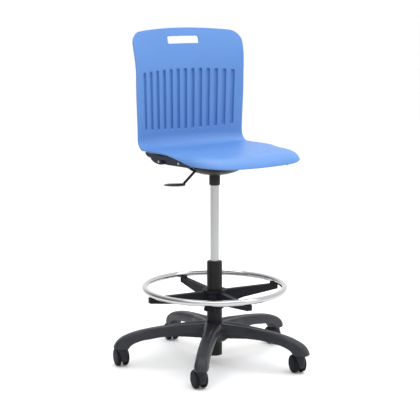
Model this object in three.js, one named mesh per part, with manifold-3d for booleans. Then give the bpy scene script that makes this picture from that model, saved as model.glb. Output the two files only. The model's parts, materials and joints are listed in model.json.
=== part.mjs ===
// Drafting chair with a one-piece moulded shell, a gas lift, a foot ring and a five-arm caster base.
// Millimetres, +Z up. The sitter faces -Y. The column axis is the design axis, and the finished
// group is moved so that the middle of its bounding box stands on the origin, at floor level.

import * as THREE from 'three';
import { mergeVertices } from 'three/addons/utils/BufferGeometryUtils.js';
import Module from 'manifold-3d';

const wasm = await Module();
wasm.setup();

// ---------------------------------------------------------------- driving dimensions

const GAP = 0.3; // clearance between pieces that are fastened together
const RUN = 0.35; // radial clearance between pieces that slide or turn

// casters
const WHEEL_RADIUS = 30;
const WHEEL_WIDTH = 12.8;
const WHEEL_SIDES = 24;
const WHEEL_INNER_FACE = 7.2; // from the caster's middle plane to the wheel's inner face
const WHEEL_CHAMFER = 2.2;
const AXLE_RADIUS = 3;
const AXLE_IN_WHEEL = 8;
const CASTER_TURN_DEG = -13; // all five casters trail back and a little to the left
const PIN_SIDES = 12;
const CASTER_TRAIL = 17.5; // from the stem to the axle
const HOOD_RADIUS = 17;
const HOOD_BOTTOM_Z = 18;
const HOOD_ABOVE_WHEEL = 0.8;
const HOOD_WHEEL_CLEARANCE = 1.2;
const HOOD_WEB_RADIUS = 9; // round end of the web that holds the axle
const STEM_RADIUS = 5.5;
const STEM_IN_HOOD = 24;
const STEM_IN_ARM = 30;
const SWIVEL_GAP = 1.1; // between the hood and the arm above it

// base
const ARM_COUNT = 5;
const ARM_TURN_DEG = 9.2;
const STEM_REACH = 304.6; // from the column axis to a caster stem
const ARM_OVERHANG = 30; // arm tip past the stem
const ARM_HALF_WIDTH = 22;
const ARM_WEB_HALF_WIDTH = 14;
const HUB_WALL = 21;
const HUB_HEIGHT = 62;
const HUB_TOP_ABOVE_ARM_END = 77;
const HUB_TOP_ROUND = 7;

// column
const TUBE_RADIUS = 25;
const TUBE_WALL = 2;
const TUBE_BOTTOM_Z = 27;
const TUBE_TOP_Z = 343;
const TUBE_FOOT_HOLE = 9;
const TUBE_FOOT_THICK = 4;
const TUBE_TOP_ROUND = 3.5;
const CYLINDER_RADIUS = 14;
const CYLINDER_WALL = 2;
const CYLINDER_IN_TUBE = 71; // overlap of the cylinder and the tube at full height
const CYLINDER_CONE_TAPER = 0.9; // radius lost over the seat taper
const CYLINDER_CONE_LENGTH = 62;
const CYLINDER_END_THICK = 8;
const BUSH_LENGTH = 78;
const PISTON_ROD_RADIUS = 5;
const PISTON_LENGTH = 14;
const GLAND_LENGTH = 15;
const BEARING_RADIUS = 15;
const BEARING_HEIGHT = 6;
const BUMPER_RADIUS = 12;
const BUMPER_HEIGHT = 12;
const CLIP_RADIUS = 8;
const CLIP_HEIGHT = 2;
const BUTTON_RADIUS = 3.5;
const BUTTON_HEIGHT = 16;
const BUTTON_PROUD = 6;
const BUTTON_ROOM = 7; // empty depth under the button for its travel

// foot ring
const RING_Z = 254;
const RING_RADIUS = 229;
const RING_TUBE_RADIUS = 10;
const SPOKE_COUNT = 4;
const SPOKE_TURN_DEG = -9.4;
const SPOKE_THICK = 17;
const SPOKE_PAST_RING = 7;
const SPOKE_END_DEPTH = 18;
const SPOKE_ROOT_DEPTH = 48;
const SPIDER_HUB_WALL = 8;
const SPIDER_LIP_WALL = 14;
const SPIDER_HUB_DEPTH = 62;
const SPIDER_LIP_HEIGHT = 7;
const SADDLE_LENGTH = 11;
const SADDLE_WIDTH = 14;
const SADDLE_HEIGHT = 7.5;
const KNOB_TURN_DEG = -146;
const KNOB_BELOW_RING = 56;
const KNOB_RADIUS = 20;
const KNOB_LOBES = 3;
const KNOB_LOBE_DEPTH = 0.26; // share of the knob's radius
const KNOB_THICK = 12;
const KNOB_STANDOFF = 11;
const KNOB_SCREW_RADIUS = 4;

// seat and mechanism
const SEAT_Z = 705; // seat surface over the column
const SHELL_THICK = 5.5;
const FRAME_HALF_WIDTH = 180;
const FRAME_WALL = 5;
const FRAME_TOP_THICK = 5.5;
const FRAME_UNDER_SEAT = 7.2; // frame top below the seat surface
const FRAME_FRONT_Y = -122;
const FRAME_BACK_Y = 134;
const FRAME_DEPTH = 28;
const FRAME_END_THICK = 14;
const FRAME_REAR_THICK = 28;
const FRAME_REAR_RISE = 3; // the rear edge lifts to follow the shell's bend
const FRAME_RISE_LENGTH = 26;
const NOTCH_BACK_Y = 46;
const NOTCH_WIDTH = 30;
const NOTCH_DEPTH = 15;
const NOTCH_RECESS = 14; // how far each side notch goes in from the frame's side
const NOTCH_BOSS_THICK = 22; // solid block behind and around each notch
const PIN_RADIUS = 4;
const PIN_LENGTH = 11;
const PIN_YS = [57, -51];
const PIN_RISES = [8.5, 13]; // pin centres above the frame's bottom edge
const PLATE_HALF_LENGTH = 116;
const PLATE_HALF_WIDTH = 112;
const PLATE_THICK = 4.5;
const PLATE_CORNER = 14;
const SOCKET_WALL = 3.8;
const SOCKET_LENGTH = 94;
const SOCKET_CHAMFER = 2;
const COVER_RIM_RADIUS = 103;
const COVER_WALL = 2.5;
const COVER_DEPTH = 59;

// lever
const PIVOT_X = -46;
const PIVOT_BELOW_PLATE = 16;
const PIVOT_RADIUS = 3;
const EYE_RADIUS = 7;
const EYE_WIDTH = 11;
const EAR_THICK = 3;
const LEVER_ROD_RADIUS = 4.2;
const LEVER_BEND_X = -127;
const LEVER_BEND_DROP = 66;
const LEVER_FINGER_THICK = 5;
const LEVER_OVER_BUTTON = 0.5;
const PADDLE_LENGTH = 80;
const PADDLE_HALF_WIDTH = 19;
const PADDLE_THICK = 11;
const PADDLE_RISE = 5; // tip above the root

// handle opening in the back
const SLOT_HALF_WIDTH = 64;
const SLOT_HEIGHT = 26;
const SLOT_CENTRE_Z = SEAT_Z + 352;
const SLOT_CORNER = 6;

// flutes in the back
const FLUTE_COUNT = 13;
const FLUTE_PITCH = 29.3;
const FLUTE_HALF_WIDTH = 6.8;
const FLUTE_DEPTH = 7.5;
const FLUTE_RIB_DEPTH = 11.5;
const FLUTE_RIB_EXTRA = 2.5;
const FLUTE_TOP_Z = SEAT_Z + 258;
const FLUTE_BOTTOM_Z = SEAT_Z + 57;
const FLUTE_END_SHORTER = 8; // outermost flutes are this much shorter at each end
const FLUTE_FAN = 0.00015; // change of pitch per millimetre of height

// ---------------------------------------------------------------- derived places

const AXLE_Z = WHEEL_RADIUS;
const WHEEL_CORNER_RADIUS = WHEEL_RADIUS / Math.cos(Math.PI / WHEEL_SIDES);
const HOOD_TOP_Z = AXLE_Z + WHEEL_CORNER_RADIUS + HOOD_ABOVE_WHEEL;
const ARM_END_Z = HOOD_TOP_Z + SWIVEL_GAP;
const HUB_TOP_Z = ARM_END_Z + HUB_TOP_ABOVE_ARM_END;
const HUB_RADIUS = TUBE_RADIUS + HUB_WALL;
const SPIDER_HUB_RADIUS = TUBE_RADIUS + SPIDER_LIP_WALL;
const SPIDER_HUB_WALL_RADIUS = TUBE_RADIUS + SPIDER_HUB_WALL;
const SOCKET_RADIUS = CYLINDER_RADIUS + SOCKET_WALL;
const CYLINDER_CONE_RADIUS = CYLINDER_RADIUS - CYLINDER_CONE_TAPER;
const TUBE_INNER = TUBE_RADIUS - TUBE_WALL;
const CYLINDER_INNER = CYLINDER_RADIUS - CYLINDER_WALL;
const CYLINDER_BOTTOM_Z = TUBE_TOP_Z - CYLINDER_IN_TUBE;
const SPOKE_TOP_Z = RING_Z - RING_TUBE_RADIUS - GAP;
const FRAME_TOP_Z = SEAT_Z - FRAME_UNDER_SEAT;
const FRAME_BOTTOM_Z = FRAME_TOP_Z - FRAME_DEPTH;
const PLATE_TOP_Z = FRAME_TOP_Z - FRAME_TOP_THICK - GAP;
const PLATE_BOTTOM_Z = PLATE_TOP_Z - PLATE_THICK;
const SOCKET_TOP_Z = PLATE_BOTTOM_Z - GAP;
const SOCKET_BOTTOM_Z = SOCKET_TOP_Z - SOCKET_LENGTH;
const PIVOT_Z = PLATE_BOTTOM_Z - PIVOT_BELOW_PLATE;
const FINGER_BOTTOM_Z = PIVOT_Z - LEVER_FINGER_THICK / 2;
const BUTTON_TOP_Z = FINGER_BOTTOM_Z - LEVER_OVER_BUTTON;
const CYLINDER_TOP_Z = BUTTON_TOP_Z - BUTTON_PROUD;
const LEVER_BEND_Z = PLATE_BOTTOM_Z - PIVOT_BELOW_PLATE - LEVER_BEND_DROP;
const COVER_BOTTOM_Z = PLATE_BOTTOM_Z - GAP - COVER_DEPTH;

// ---------------------------------------------------------------- finishes

const FINISHES = {
  blue_plastic: { color: 0x6b9fe6, roughness: 0.42, metalness: 0 },
  navy_plastic: { color: 0x2b3240, roughness: 0.55, metalness: 0 },
  charcoal_plastic: { color: 0x4a4b50, roughness: 0.5, metalness: 0 },
  dark_plastic: { color: 0x33333a, roughness: 0.5, metalness: 0 },
  black_paint: { color: 0x2b2c2e, roughness: 0.45, metalness: 0.1 },
  gloss_black: { color: 0x1c1d20, roughness: 0.25, metalness: 0 },
  chrome: { color: 0xe6e8ea, roughness: 0.08, metalness: 1 },
  satin_steel: { color: 0xc8cacc, roughness: 0.28, metalness: 1 },
  zinc_steel: { color: 0xa9abad, roughness: 0.4, metalness: 1 },
  rubber: { color: 0x222224, roughness: 0.85, metalness: 0 },
};

const chair = new THREE.Group();
chair.name = 'drafting_chair';

// ---------------------------------------------------------------- building helpers

const rad = THREE.MathUtils.degToRad;
const TURN = 2 * Math.PI;

function add(parent, name, geometry, finish) {
  const settings = FINISHES[finish];
  const material = new THREE.MeshStandardMaterial(settings);
  material.name = finish;
  const mesh = new THREE.Mesh(geometry, material);
  mesh.name = name;
  parent.add(mesh);
  return mesh;
}

function assembly(name) {
  const group = new THREE.Group();
  group.name = name;
  chair.add(group);
  return group;
}

// welds a geometry by position and turns it right side out
function welded(geometry) {
  let plain = geometry;
  if (plain.attributes.normal) plain.deleteAttribute('normal');
  if (plain.attributes.uv) plain.deleteAttribute('uv');
  plain = mergeVertices(plain, 1e-4);
  const points = plain.attributes.position;
  const kept = [];
  let volume = 0;
  const [a, b, c] = [new THREE.Vector3(), new THREE.Vector3(), new THREE.Vector3()];
  for (let i = 0; i < plain.index.count; i += 3) {
    const corner = [plain.index.getX(i), plain.index.getX(i + 1), plain.index.getX(i + 2)];
    if (new Set(corner).size < 3) continue;
    kept.push(...corner);
    a.fromBufferAttribute(points, corner[0]);
    b.fromBufferAttribute(points, corner[1]);
    c.fromBufferAttribute(points, corner[2]);
    volume += a.dot(b.cross(c));
  }
  if (volume < 0) kept.reverse();
  plain.setIndex(kept);
  plain.computeVertexNormals();
  return plain;
}

function toSolid(geometry) {
  const plain = welded(geometry);
  const mesh = new wasm.Mesh({
    numProp: 3,
    vertProperties: new Float32Array(plain.attributes.position.array),
    triVerts: new Uint32Array(plain.index.array),
  });
  mesh.merge();
  return new wasm.Manifold(mesh);
}

function fromSolid(solid) {
  const mesh = solid.getMesh();
  const geometry = new THREE.BufferGeometry();
  geometry.setAttribute('position', new THREE.BufferAttribute(new Float32Array(mesh.vertProperties), 3));
  geometry.setIndex(new THREE.BufferAttribute(new Uint32Array(mesh.triVerts), 1));
  geometry.computeVertexNormals();
  return geometry;
}

// joins the first list of geometries and cuts the second list away
function carve(solids, cutters = []) {
  let body = toSolid(solids[0]);
  for (const piece of solids.slice(1)) body = body.add(toSolid(piece));
  for (const cutter of cutters) body = body.subtract(toSolid(cutter));
  return fromSolid(body);
}

// round body about +Z from a closed list of [radius, height] points
function turned(profile, sides = 24) {
  const points = profile.map(([r, z]) => new THREE.Vector2(r, z));
  const open = profile[0][0] > 0 || profile[profile.length - 1][0] > 0;
  if (open) points.push(points[0].clone());
  const geometry = new THREE.LatheGeometry(points, sides);
  geometry.rotateX(Math.PI / 2);
  return welded(geometry);
}

// solid cylinder between two heights
function rod(radius, low, high, sides = 24) {
  return turned([[0, low], [radius, low], [radius, high], [0, high]], sides);
}

// tube between two heights
function pipe(inner, outer, low, high, sides = 24) {
  return turned([[inner, low], [outer, low], [outer, high], [inner, high]], sides);
}

// cylinder along X, with a flat of its polygon facing straight down
function discAlongX(radius, left, right, sides) {
  const geometry = rod(radius, left, right, sides);
  geometry.rotateZ(Math.PI / sides);
  geometry.rotateY(Math.PI / 2);
  return geometry;
}

function cylinderAlongY(radius, front, back, sides = 16) {
  const geometry = rod(radius, front, back, sides);
  geometry.rotateX(-Math.PI / 2);
  return geometry;
}

function box(low, high) {
  const size = high.map((value, axis) => value - low[axis]);
  const geometry = new THREE.BoxGeometry(...size);
  geometry.translate(...low.map((value, axis) => value + size[axis] / 2));
  return geometry;
}

// closed body through rings of points; every ring has the same number of points
function loft(rings) {
  const count = rings[0].length;
  const positions = rings.flat().flat();
  const faces = [];
  for (let ring = 0; ring + 1 < rings.length; ring += 1) {
    for (let i = 0; i < count; i += 1) {
      const here = ring * count + i;
      const next = ring * count + ((i + 1) % count);
      faces.push(here, next, next + count, here, next + count, here + count);
    }
  }
  const lastStart = (rings.length - 1) * count;
  for (const cap of capFaces(rings[0])) faces.push(cap[2], cap[1], cap[0]);
  for (const cap of capFaces(rings[rings.length - 1])) faces.push(...cap.map((i) => i + lastStart));
  const geometry = new THREE.BufferGeometry();
  geometry.setAttribute('position', new THREE.Float32BufferAttribute(positions, 3));
  geometry.setIndex(faces);
  return welded(geometry);
}

// triangles over a flat ring of 3-D points
function capFaces(ring) {
  const points = ring.map((p) => new THREE.Vector3(...p));
  const normal = new THREE.Vector3();
  points.forEach((p, i) => normal.add(p.clone().cross(points[(i + 1) % points.length])));
  normal.normalize();
  const across = new THREE.Vector3(1, 0, 0);
  if (Math.abs(normal.x) > 0.8) across.set(0, 1, 0);
  across.cross(normal).normalize();
  const up = normal.clone().cross(across);
  const flat = points.map((p) => new THREE.Vector2(p.dot(across), p.dot(up)));
  return THREE.ShapeUtils.triangulateShape(flat, []);
}

// smooth function through [place, value] pairs, level outside them
function curveThrough(pairs) {
  const slopes = pairs.map((pair, i) => {
    const before = pairs[Math.max(i - 1, 0)];
    const after = pairs[Math.min(i + 1, pairs.length - 1)];
    return (after[1] - before[1]) / (after[0] - before[0]);
  });
  return (place) => {
    if (place <= pairs[0][0]) return pairs[0][1];
    const last = pairs.length - 1;
    if (place >= pairs[last][0]) return pairs[last][1];
    let i = 0;
    while (place > pairs[i + 1][0]) i += 1;
    const span = pairs[i + 1][0] - pairs[i][0];
    const t = (place - pairs[i][0]) / span;
    const rise = 3 * t ** 2 - 2 * t ** 3;
    const start = pairs[i][1] * (1 - rise) + pairs[i + 1][1] * rise;
    const lean = slopes[i] * (t ** 3 - 2 * t ** 2 + t) + slopes[i + 1] * (t ** 3 - t ** 2);
    return start + lean * span;
  };
}

function smoothStep(low, high, value) {
  return THREE.MathUtils.smoothstep(value, low, high);
}

// ---------------------------------------------------------------- moulded shell

const BACK_Y = 159.5; // back surface behind the column, at the flutes
const BACK_HEIGHT = 391; // top of the back above the seat surface
const BACK_HALF_WIDTH = 216; // at the middle of the back
const BACK_FLARE = 4; // extra half width just under the top corners
const BACK_WAIST = 5; // half width lost where the back meets the seat
const BACK_SAG = 37; // how far the back's sides come forward of its middle
const BACK_TOP_LEAN = 24; // how far the top edge leans back
const BACK_LEAN_START = 250; // height above the seat where that lean begins
const TOP_ARCH = 13;
const TOP_CORNER = 40;
const BEND_RADIUS = 44;
const SEAT_FRONT_Y = -246;
const SEAT_HALF_WIDTH = 214;
const SEAT_CORNER = 112;
const SEAT_SIDE_RISE = 10;
const SEAT_CROWN = 3;
const LIP_DROP = 38;
const LIP_START_Y = -10; // where the side edges begin to drop
const LIP_END_Y = -170;
const LIP_REACH = 50; // width of the rounded roll along the rim

const BACK_TOP_Z = SEAT_Z + BACK_HEIGHT;

function backY(z) {
  const lean = Math.max(0, (z - SEAT_Z - BACK_LEAN_START) / (BACK_HEIGHT - BACK_LEAN_START));
  return BACK_Y + BACK_TOP_LEAN * lean ** 1.7;
}

function backSag(x) {
  return BACK_SAG * (x / BACK_HALF_WIDTH) ** 2;
}

// half width of the back at a height, with the rounded top corners
function backHalfWidth(z) {
  const height = z - SEAT_Z;
  const waist = BACK_WAIST * (1 - smoothStep(BEND_RADIUS, BACK_HEIGHT * 0.55, height));
  const flare = BACK_FLARE * smoothStep(BACK_HEIGHT * 0.6, BACK_HEIGHT * 0.86, height);
  const full = BACK_HALF_WIDTH - waist + flare;
  const intoCorner = Math.max(0, height - (BACK_HEIGHT - TOP_CORNER)) / TOP_CORNER;
  return full - TOP_CORNER + TOP_CORNER * Math.sqrt(Math.max(0, 1 - intoCorner ** 2));
}

function backPoint(across, z) {
  const x = across * backHalfWidth(z);
  const nearTop = smoothStep(BACK_HEIGHT * 0.7, BACK_HEIGHT, z - SEAT_Z);
  const height = z - TOP_ARCH * nearTop * (x / BACK_HALF_WIDTH) ** 2;
  return [x, backY(z) - backSag(x), height];
}

// distance inside the seat's outline, which has two rounded front corners
function seatInset(x, y) {
  const side = Math.abs(x) - (SEAT_HALF_WIDTH - SEAT_CORNER);
  const front = SEAT_FRONT_Y + SEAT_CORNER - y;
  if (side > 0 && front > 0) return SEAT_CORNER - Math.hypot(side, front);
  return Math.min(SEAT_CORNER - side, SEAT_CORNER - front);
}

function seatHeight(x, y) {
  const rise = SEAT_SIDE_RISE * (x / SEAT_HALF_WIDTH) ** 2;
  const crown = SEAT_CROWN * Math.sin(Math.PI * smoothStep(0, 1, -y / -SEAT_FRONT_Y));
  const towardsFront = 1 - smoothStep(LIP_END_Y, LIP_START_Y, y);
  const lip = Math.max(0, 1 - Math.max(0, seatInset(x, y)) / LIP_REACH);
  const roll = 1 - Math.sqrt(Math.max(0, 1 - lip ** 2));
  return SEAT_Z + rise + crown - LIP_DROP * towardsFront * roll;
}

function seatHalfWidth(y) {
  const intoCorner = Math.max(0, SEAT_FRONT_Y + SEAT_CORNER - y) / SEAT_CORNER;
  const corner = SEAT_CORNER * Math.sqrt(Math.max(0, 1 - intoCorner ** 2));
  return SEAT_HALF_WIDTH - SEAT_CORNER + corner;
}

// one point of the bend between back and seat; turn runs from 0 at the back to 1 at the seat
function bendPoint(across, turn) {
  const angle = turn * Math.PI / 2;
  const backEnd = backPoint(across, SEAT_Z + BEND_RADIUS);
  const seatEndY = BACK_Y - BEND_RADIUS;
  const seatEnd = [across * SEAT_HALF_WIDTH, seatEndY - backSag(across * SEAT_HALF_WIDTH) * 0.55];
  const seatEndZ = seatHeight(...seatEnd);
  const x = THREE.MathUtils.lerp(backEnd[0], seatEnd[0], turn);
  const y = backEnd[1] + (seatEnd[1] - backEnd[1]) * (1 - Math.cos(angle));
  const z = seatEndZ + (backEnd[2] - seatEndZ) * (1 - Math.sin(angle));
  return [x, y, z];
}

function seatPoint(across, y) {
  const x = across * seatHalfWidth(y);
  const nearBack = 1 - smoothStep(0, 1, (BACK_Y - BEND_RADIUS - y) / (BACK_Y - BEND_RADIUS));
  const place = y - backSag(x) * 0.55 * Math.max(0, nearBack);
  return [x, place, seatHeight(x, place)];
}

// rows of the upper surface, from the top of the back to the front lip
function shellRows(columns) {
  const rows = [];
  const cornerSteps = [0, 8, 20, 38, 62, 90];
  for (const step of cornerSteps) {
    const z = BACK_TOP_Z - TOP_CORNER * (1 - Math.cos(rad(step)));
    rows.push(columns.map((across) => backPoint(across, z)));
  }
  const backSteps = [0.84, 0.76, 0.66, 0.4, 0.14];
  for (const share of backSteps) {
    const z = SEAT_Z + BEND_RADIUS + (BACK_HEIGHT - BEND_RADIUS) * share;
    rows.push(columns.map((across) => backPoint(across, z)));
  }
  for (let i = 0; i <= 5; i += 1) rows.push(columns.map((across) => bendPoint(across, i / 5)));
  const flatStart = BACK_Y - BEND_RADIUS;
  const flatEnd = SEAT_FRONT_Y + SEAT_CORNER;
  for (const share of [0.2, 0.45, 0.7, 0.88]) {
    rows.push(columns.map((across) => seatPoint(across, flatStart + (flatEnd - flatStart) * share)));
  }
  for (const step of [0, 18, 34, 48, 60, 70, 79, 86, 90]) {
    const y = flatEnd - SEAT_CORNER * Math.sin(rad(step));
    rows.push(columns.map((across) => seatPoint(across, y)));
  }
  return rows;
}

// gives a grid of surface points a thickness and closes its edges
function thickened(rows, thickness) {
  const height = rows.length;
  const width = rows[0].length;
  const clamp = THREE.MathUtils.clamp;
  const at = (r, c) => new THREE.Vector3(...rows[clamp(r, 0, height - 1)][clamp(c, 0, width - 1)]);
  const positions = [];
  for (const side of [0, 1]) {
    for (let r = 0; r < height; r += 1) {
      for (let c = 0; c < width; c += 1) {
        const down = at(r + 1, c).sub(at(r - 1, c));
        const across = at(r, c + 1).sub(at(r, c - 1));
        const normal = down.cross(across).normalize();
        const point = at(r, c).addScaledVector(normal, -side * thickness);
        positions.push(point.x, point.y, point.z);
      }
    }
  }
  const upper = (r, c) => r * width + c;
  const lower = (r, c) => height * width + r * width + c;
  const faces = [];
  const quad = (a, b, c, d) => faces.push(a, b, c, a, c, d);
  for (let r = 0; r + 1 < height; r += 1) {
    for (let c = 0; c + 1 < width; c += 1) {
      quad(upper(r, c), upper(r + 1, c), upper(r + 1, c + 1), upper(r, c + 1));
      quad(lower(r, c), lower(r, c + 1), lower(r + 1, c + 1), lower(r + 1, c));
    }
    quad(upper(r, 0), lower(r, 0), lower(r + 1, 0), upper(r + 1, 0));
    quad(upper(r, width - 1), upper(r + 1, width - 1), lower(r + 1, width - 1), lower(r, width - 1));
  }
  for (let c = 0; c + 1 < width; c += 1) {
    quad(upper(0, c), upper(0, c + 1), lower(0, c + 1), lower(0, c));
    quad(upper(height - 1, c), lower(height - 1, c), lower(height - 1, c + 1), upper(height - 1, c + 1));
  }
  const geometry = new THREE.BufferGeometry();
  geometry.setAttribute('position', new THREE.Float32BufferAttribute(positions, 3));
  geometry.setIndex(faces);
  return welded(geometry);
}

// upright rounded bar that follows the back, between two depths behind its surface
function fluteBar(index, halfWidth, front, back, lengthen) {
  const place = index - (FLUTE_COUNT - 1) / 2;
  const shorter = FLUTE_END_SHORTER * (2 * place / (FLUTE_COUNT - 1)) ** 2;
  const top = FLUTE_TOP_Z - shorter + lengthen;
  const bottom = FLUTE_BOTTOM_Z + shorter - lengthen;
  const middle = (FLUTE_TOP_Z + FLUTE_BOTTOM_Z) / 2;
  const ends = [[0, 0.35], [0.35, 0.86], [1, 1]];
  const stations = ends.map(([inward, share]) => [bottom + inward * halfWidth, share]);
  stations.push([middle, 1]);
  for (const [inward, share] of ends.slice().reverse()) stations.push([top - inward * halfWidth, share]);
  const rings = stations.map(([z, share]) => {
    const centre = place * FLUTE_PITCH * (1 + FLUTE_FAN * (z - middle));
    const corners = [[-1, front], [1, front], [1, back], [-1, back]];
    return corners.map(([side, depth]) => {
      const x = centre + side * share * halfWidth;
      return [x, backY(z) - backSag(x) + depth, z];
    });
  });
  return loft(rings);
}

function slotCutter() {
  const shape = new THREE.Shape();
  const [w, h, r] = [SLOT_HALF_WIDTH, SLOT_HEIGHT / 2, SLOT_CORNER];
  shape.moveTo(-w + r, -h);
  shape.lineTo(w - r, -h);
  shape.absarc(w - r, -h + r, r, -Math.PI / 2, 0);
  shape.absarc(w - r, h - r, r, 0, Math.PI / 2);
  shape.absarc(-w + r, h - r, r, Math.PI / 2, Math.PI);
  shape.absarc(-w + r, -h + r, r, Math.PI, 1.5 * Math.PI);
  const reach = 60;
  const settings = { depth: 2 * reach, bevelEnabled: false, curveSegments: 4 };
  const geometry = new THREE.ExtrudeGeometry(shape, settings);
  geometry.rotateX(Math.PI / 2);
  geometry.translate(0, backY(SLOT_CENTRE_Z) + reach, SLOT_CENTRE_Z);
  return geometry;
}

function shellGeometry() {
  const half = [0.2, 0.4, 0.6, 0.79, 0.9, 0.96, 0.99, 1];
  const columns = [...half.slice().reverse().map((share) => -share), 0, ...half];
  const ribs = [];
  const flutes = [];
  for (let i = 0; i < FLUTE_COUNT; i += 1) {
    const ribHalfWidth = FLUTE_HALF_WIDTH + FLUTE_RIB_EXTRA;
    ribs.push(fluteBar(i, ribHalfWidth, SHELL_THICK / 2, FLUTE_RIB_DEPTH, FLUTE_RIB_EXTRA));
    flutes.push(fluteBar(i, FLUTE_HALF_WIDTH, -FLUTE_DEPTH, FLUTE_DEPTH, 0));
  }
  return carve([thickened(shellRows(columns), SHELL_THICK), ...ribs], [...flutes, slotCutter()]);
}

// ---------------------------------------------------------------- seat frame and mechanism

// side view of the frame: two rounded lobes at the back and a straight lower edge
function frameSideShape() {
  const top = FRAME_TOP_Z;
  const low = FRAME_BOTTOM_Z;
  const lobeY = FRAME_BACK_Y - 30;
  const lobeZ = top - FRAME_DEPTH * 0.42;
  const shape = new THREE.Shape();
  shape.moveTo(FRAME_FRONT_Y, top);
  shape.lineTo(FRAME_BACK_Y - FRAME_RISE_LENGTH, top);
  shape.quadraticCurveTo(FRAME_BACK_Y - 8, top, FRAME_BACK_Y, top + FRAME_REAR_RISE);
  shape.quadraticCurveTo(FRAME_BACK_Y - 4, lobeZ + 1, lobeY, lobeZ);
  shape.quadraticCurveTo(lobeY - 8, low + 2, NOTCH_BACK_Y + 12, low - 1);
  shape.lineTo(NOTCH_BACK_Y, low - 1);
  shape.lineTo(NOTCH_BACK_Y - NOTCH_WIDTH, low + 2);
  shape.lineTo(FRAME_FRONT_Y + 22, low + 4);
  shape.quadraticCurveTo(FRAME_FRONT_Y + 2, low + 6, FRAME_FRONT_Y, top);
  return shape;
}

function seatFrame() {
  const outer = new THREE.ExtrudeGeometry(frameSideShape(), {
    depth: 2 * FRAME_HALF_WIDTH,
    bevelEnabled: false,
    curveSegments: 5,
  });
  outer.rotateY(Math.PI / 2);
  outer.rotateX(Math.PI / 2);
  outer.translate(-FRAME_HALF_WIDTH, 0, 0);
  const inner = FRAME_HALF_WIDTH - FRAME_WALL;
  const ceiling = FRAME_TOP_Z - FRAME_TOP_THICK;
  const under = FRAME_BOTTOM_Z - 20;
  const front = FRAME_FRONT_Y + FRAME_END_THICK;
  const back = FRAME_BACK_Y - FRAME_REAR_THICK;
  const bossFront = NOTCH_BACK_Y - NOTCH_WIDTH - FRAME_WALL;
  const bossBack = NOTCH_BACK_Y + FRAME_WALL;
  const bossInner = FRAME_HALF_WIDTH - NOTCH_BOSS_THICK;
  const cutters = [
    box([-inner, front, under], [inner, bossFront, ceiling]),
    box([-bossInner, bossFront - 1, under], [bossInner, bossBack + 1, ceiling]),
    box([-inner, bossBack, under], [inner, back, ceiling]),
  ];
  for (const side of [-1, 1]) {
    const near = Math.min(side * (FRAME_HALF_WIDTH - NOTCH_RECESS), side * FRAME_HALF_WIDTH * 2);
    const far = Math.max(side * (FRAME_HALF_WIDTH - NOTCH_RECESS), side * FRAME_HALF_WIDTH * 2);
    const notchTop = FRAME_BOTTOM_Z + NOTCH_DEPTH;
    cutters.push(box([near, NOTCH_BACK_Y - NOTCH_WIDTH, under], [far, NOTCH_BACK_Y, notchTop]));
    PIN_YS.forEach((y, i) => {
      cutters.push(pinShape(side, y, PIN_RISES[i], PIN_RADIUS / 2 + GAP, PIN_LENGTH * 2));
    });
  }
  return carve([outer], cutters);
}

function pinShape(side, y, rise, radius, length) {
  const start = FRAME_HALF_WIDTH + 1.2 - length;
  const geometry = rod(radius, start, FRAME_HALF_WIDTH + 1.2, 12);
  geometry.rotateY(side * Math.PI / 2);
  geometry.translate(0, y, FRAME_BOTTOM_Z + rise);
  return geometry;
}

function sidePin(side, y, rise) {
  const shank = pinShape(side, y, rise, PIN_RADIUS / 2, PIN_LENGTH);
  const head = rod(PIN_RADIUS, FRAME_HALF_WIDTH + GAP, FRAME_HALF_WIDTH + 2, 12);
  head.rotateY(side * Math.PI / 2);
  head.translate(0, y, FRAME_BOTTOM_Z + rise);
  return carve([head, shank]);
}

function mechanismPlate() {
  const shape = new THREE.Shape();
  const [w, l, r] = [PLATE_HALF_WIDTH, PLATE_HALF_LENGTH - 18, PLATE_CORNER];
  shape.moveTo(-w + r, -l);
  shape.lineTo(w - r, -l);
  shape.absarc(w - r, -l + r, r, -Math.PI / 2, 0);
  shape.absarc(w - r, l - r, r, 0, Math.PI / 2);
  shape.absarc(-w + r, l - r, r, Math.PI / 2, Math.PI);
  shape.absarc(-w + r, -l + r, r, Math.PI, 1.5 * Math.PI);
  const settings = { depth: PLATE_THICK, bevelEnabled: false, curveSegments: 3 };
  const geometry = new THREE.ExtrudeGeometry(shape, settings);
  geometry.translate(0, 0, PLATE_BOTTOM_Z);
  return welded(geometry);
}

// tapered socket that holds the cylinder's cone; a window on one side lets the lever in
function coneSocket() {
  const coneStart = CYLINDER_TOP_Z - CYLINDER_CONE_LENGTH;
  const body = turned([
    [CYLINDER_RADIUS + GAP, SOCKET_BOTTOM_Z],
    [SOCKET_RADIUS - SOCKET_CHAMFER, SOCKET_BOTTOM_Z],
    [SOCKET_RADIUS, SOCKET_BOTTOM_Z + SOCKET_CHAMFER],
    [SOCKET_RADIUS, SOCKET_TOP_Z],
    [CYLINDER_CONE_RADIUS + GAP, SOCKET_TOP_Z],
    [CYLINDER_CONE_RADIUS + GAP, CYLINDER_TOP_Z],
    [CYLINDER_RADIUS + GAP, coneStart],
  ]);
  const window = box(
    [-SOCKET_RADIUS * 2, -LEVER_ROD_RADIUS * 2, CYLINDER_TOP_Z + 1],
    [0, LEVER_ROD_RADIUS * 2, PIVOT_Z + 9],
  );
  return carve([body], [window]);
}

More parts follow.
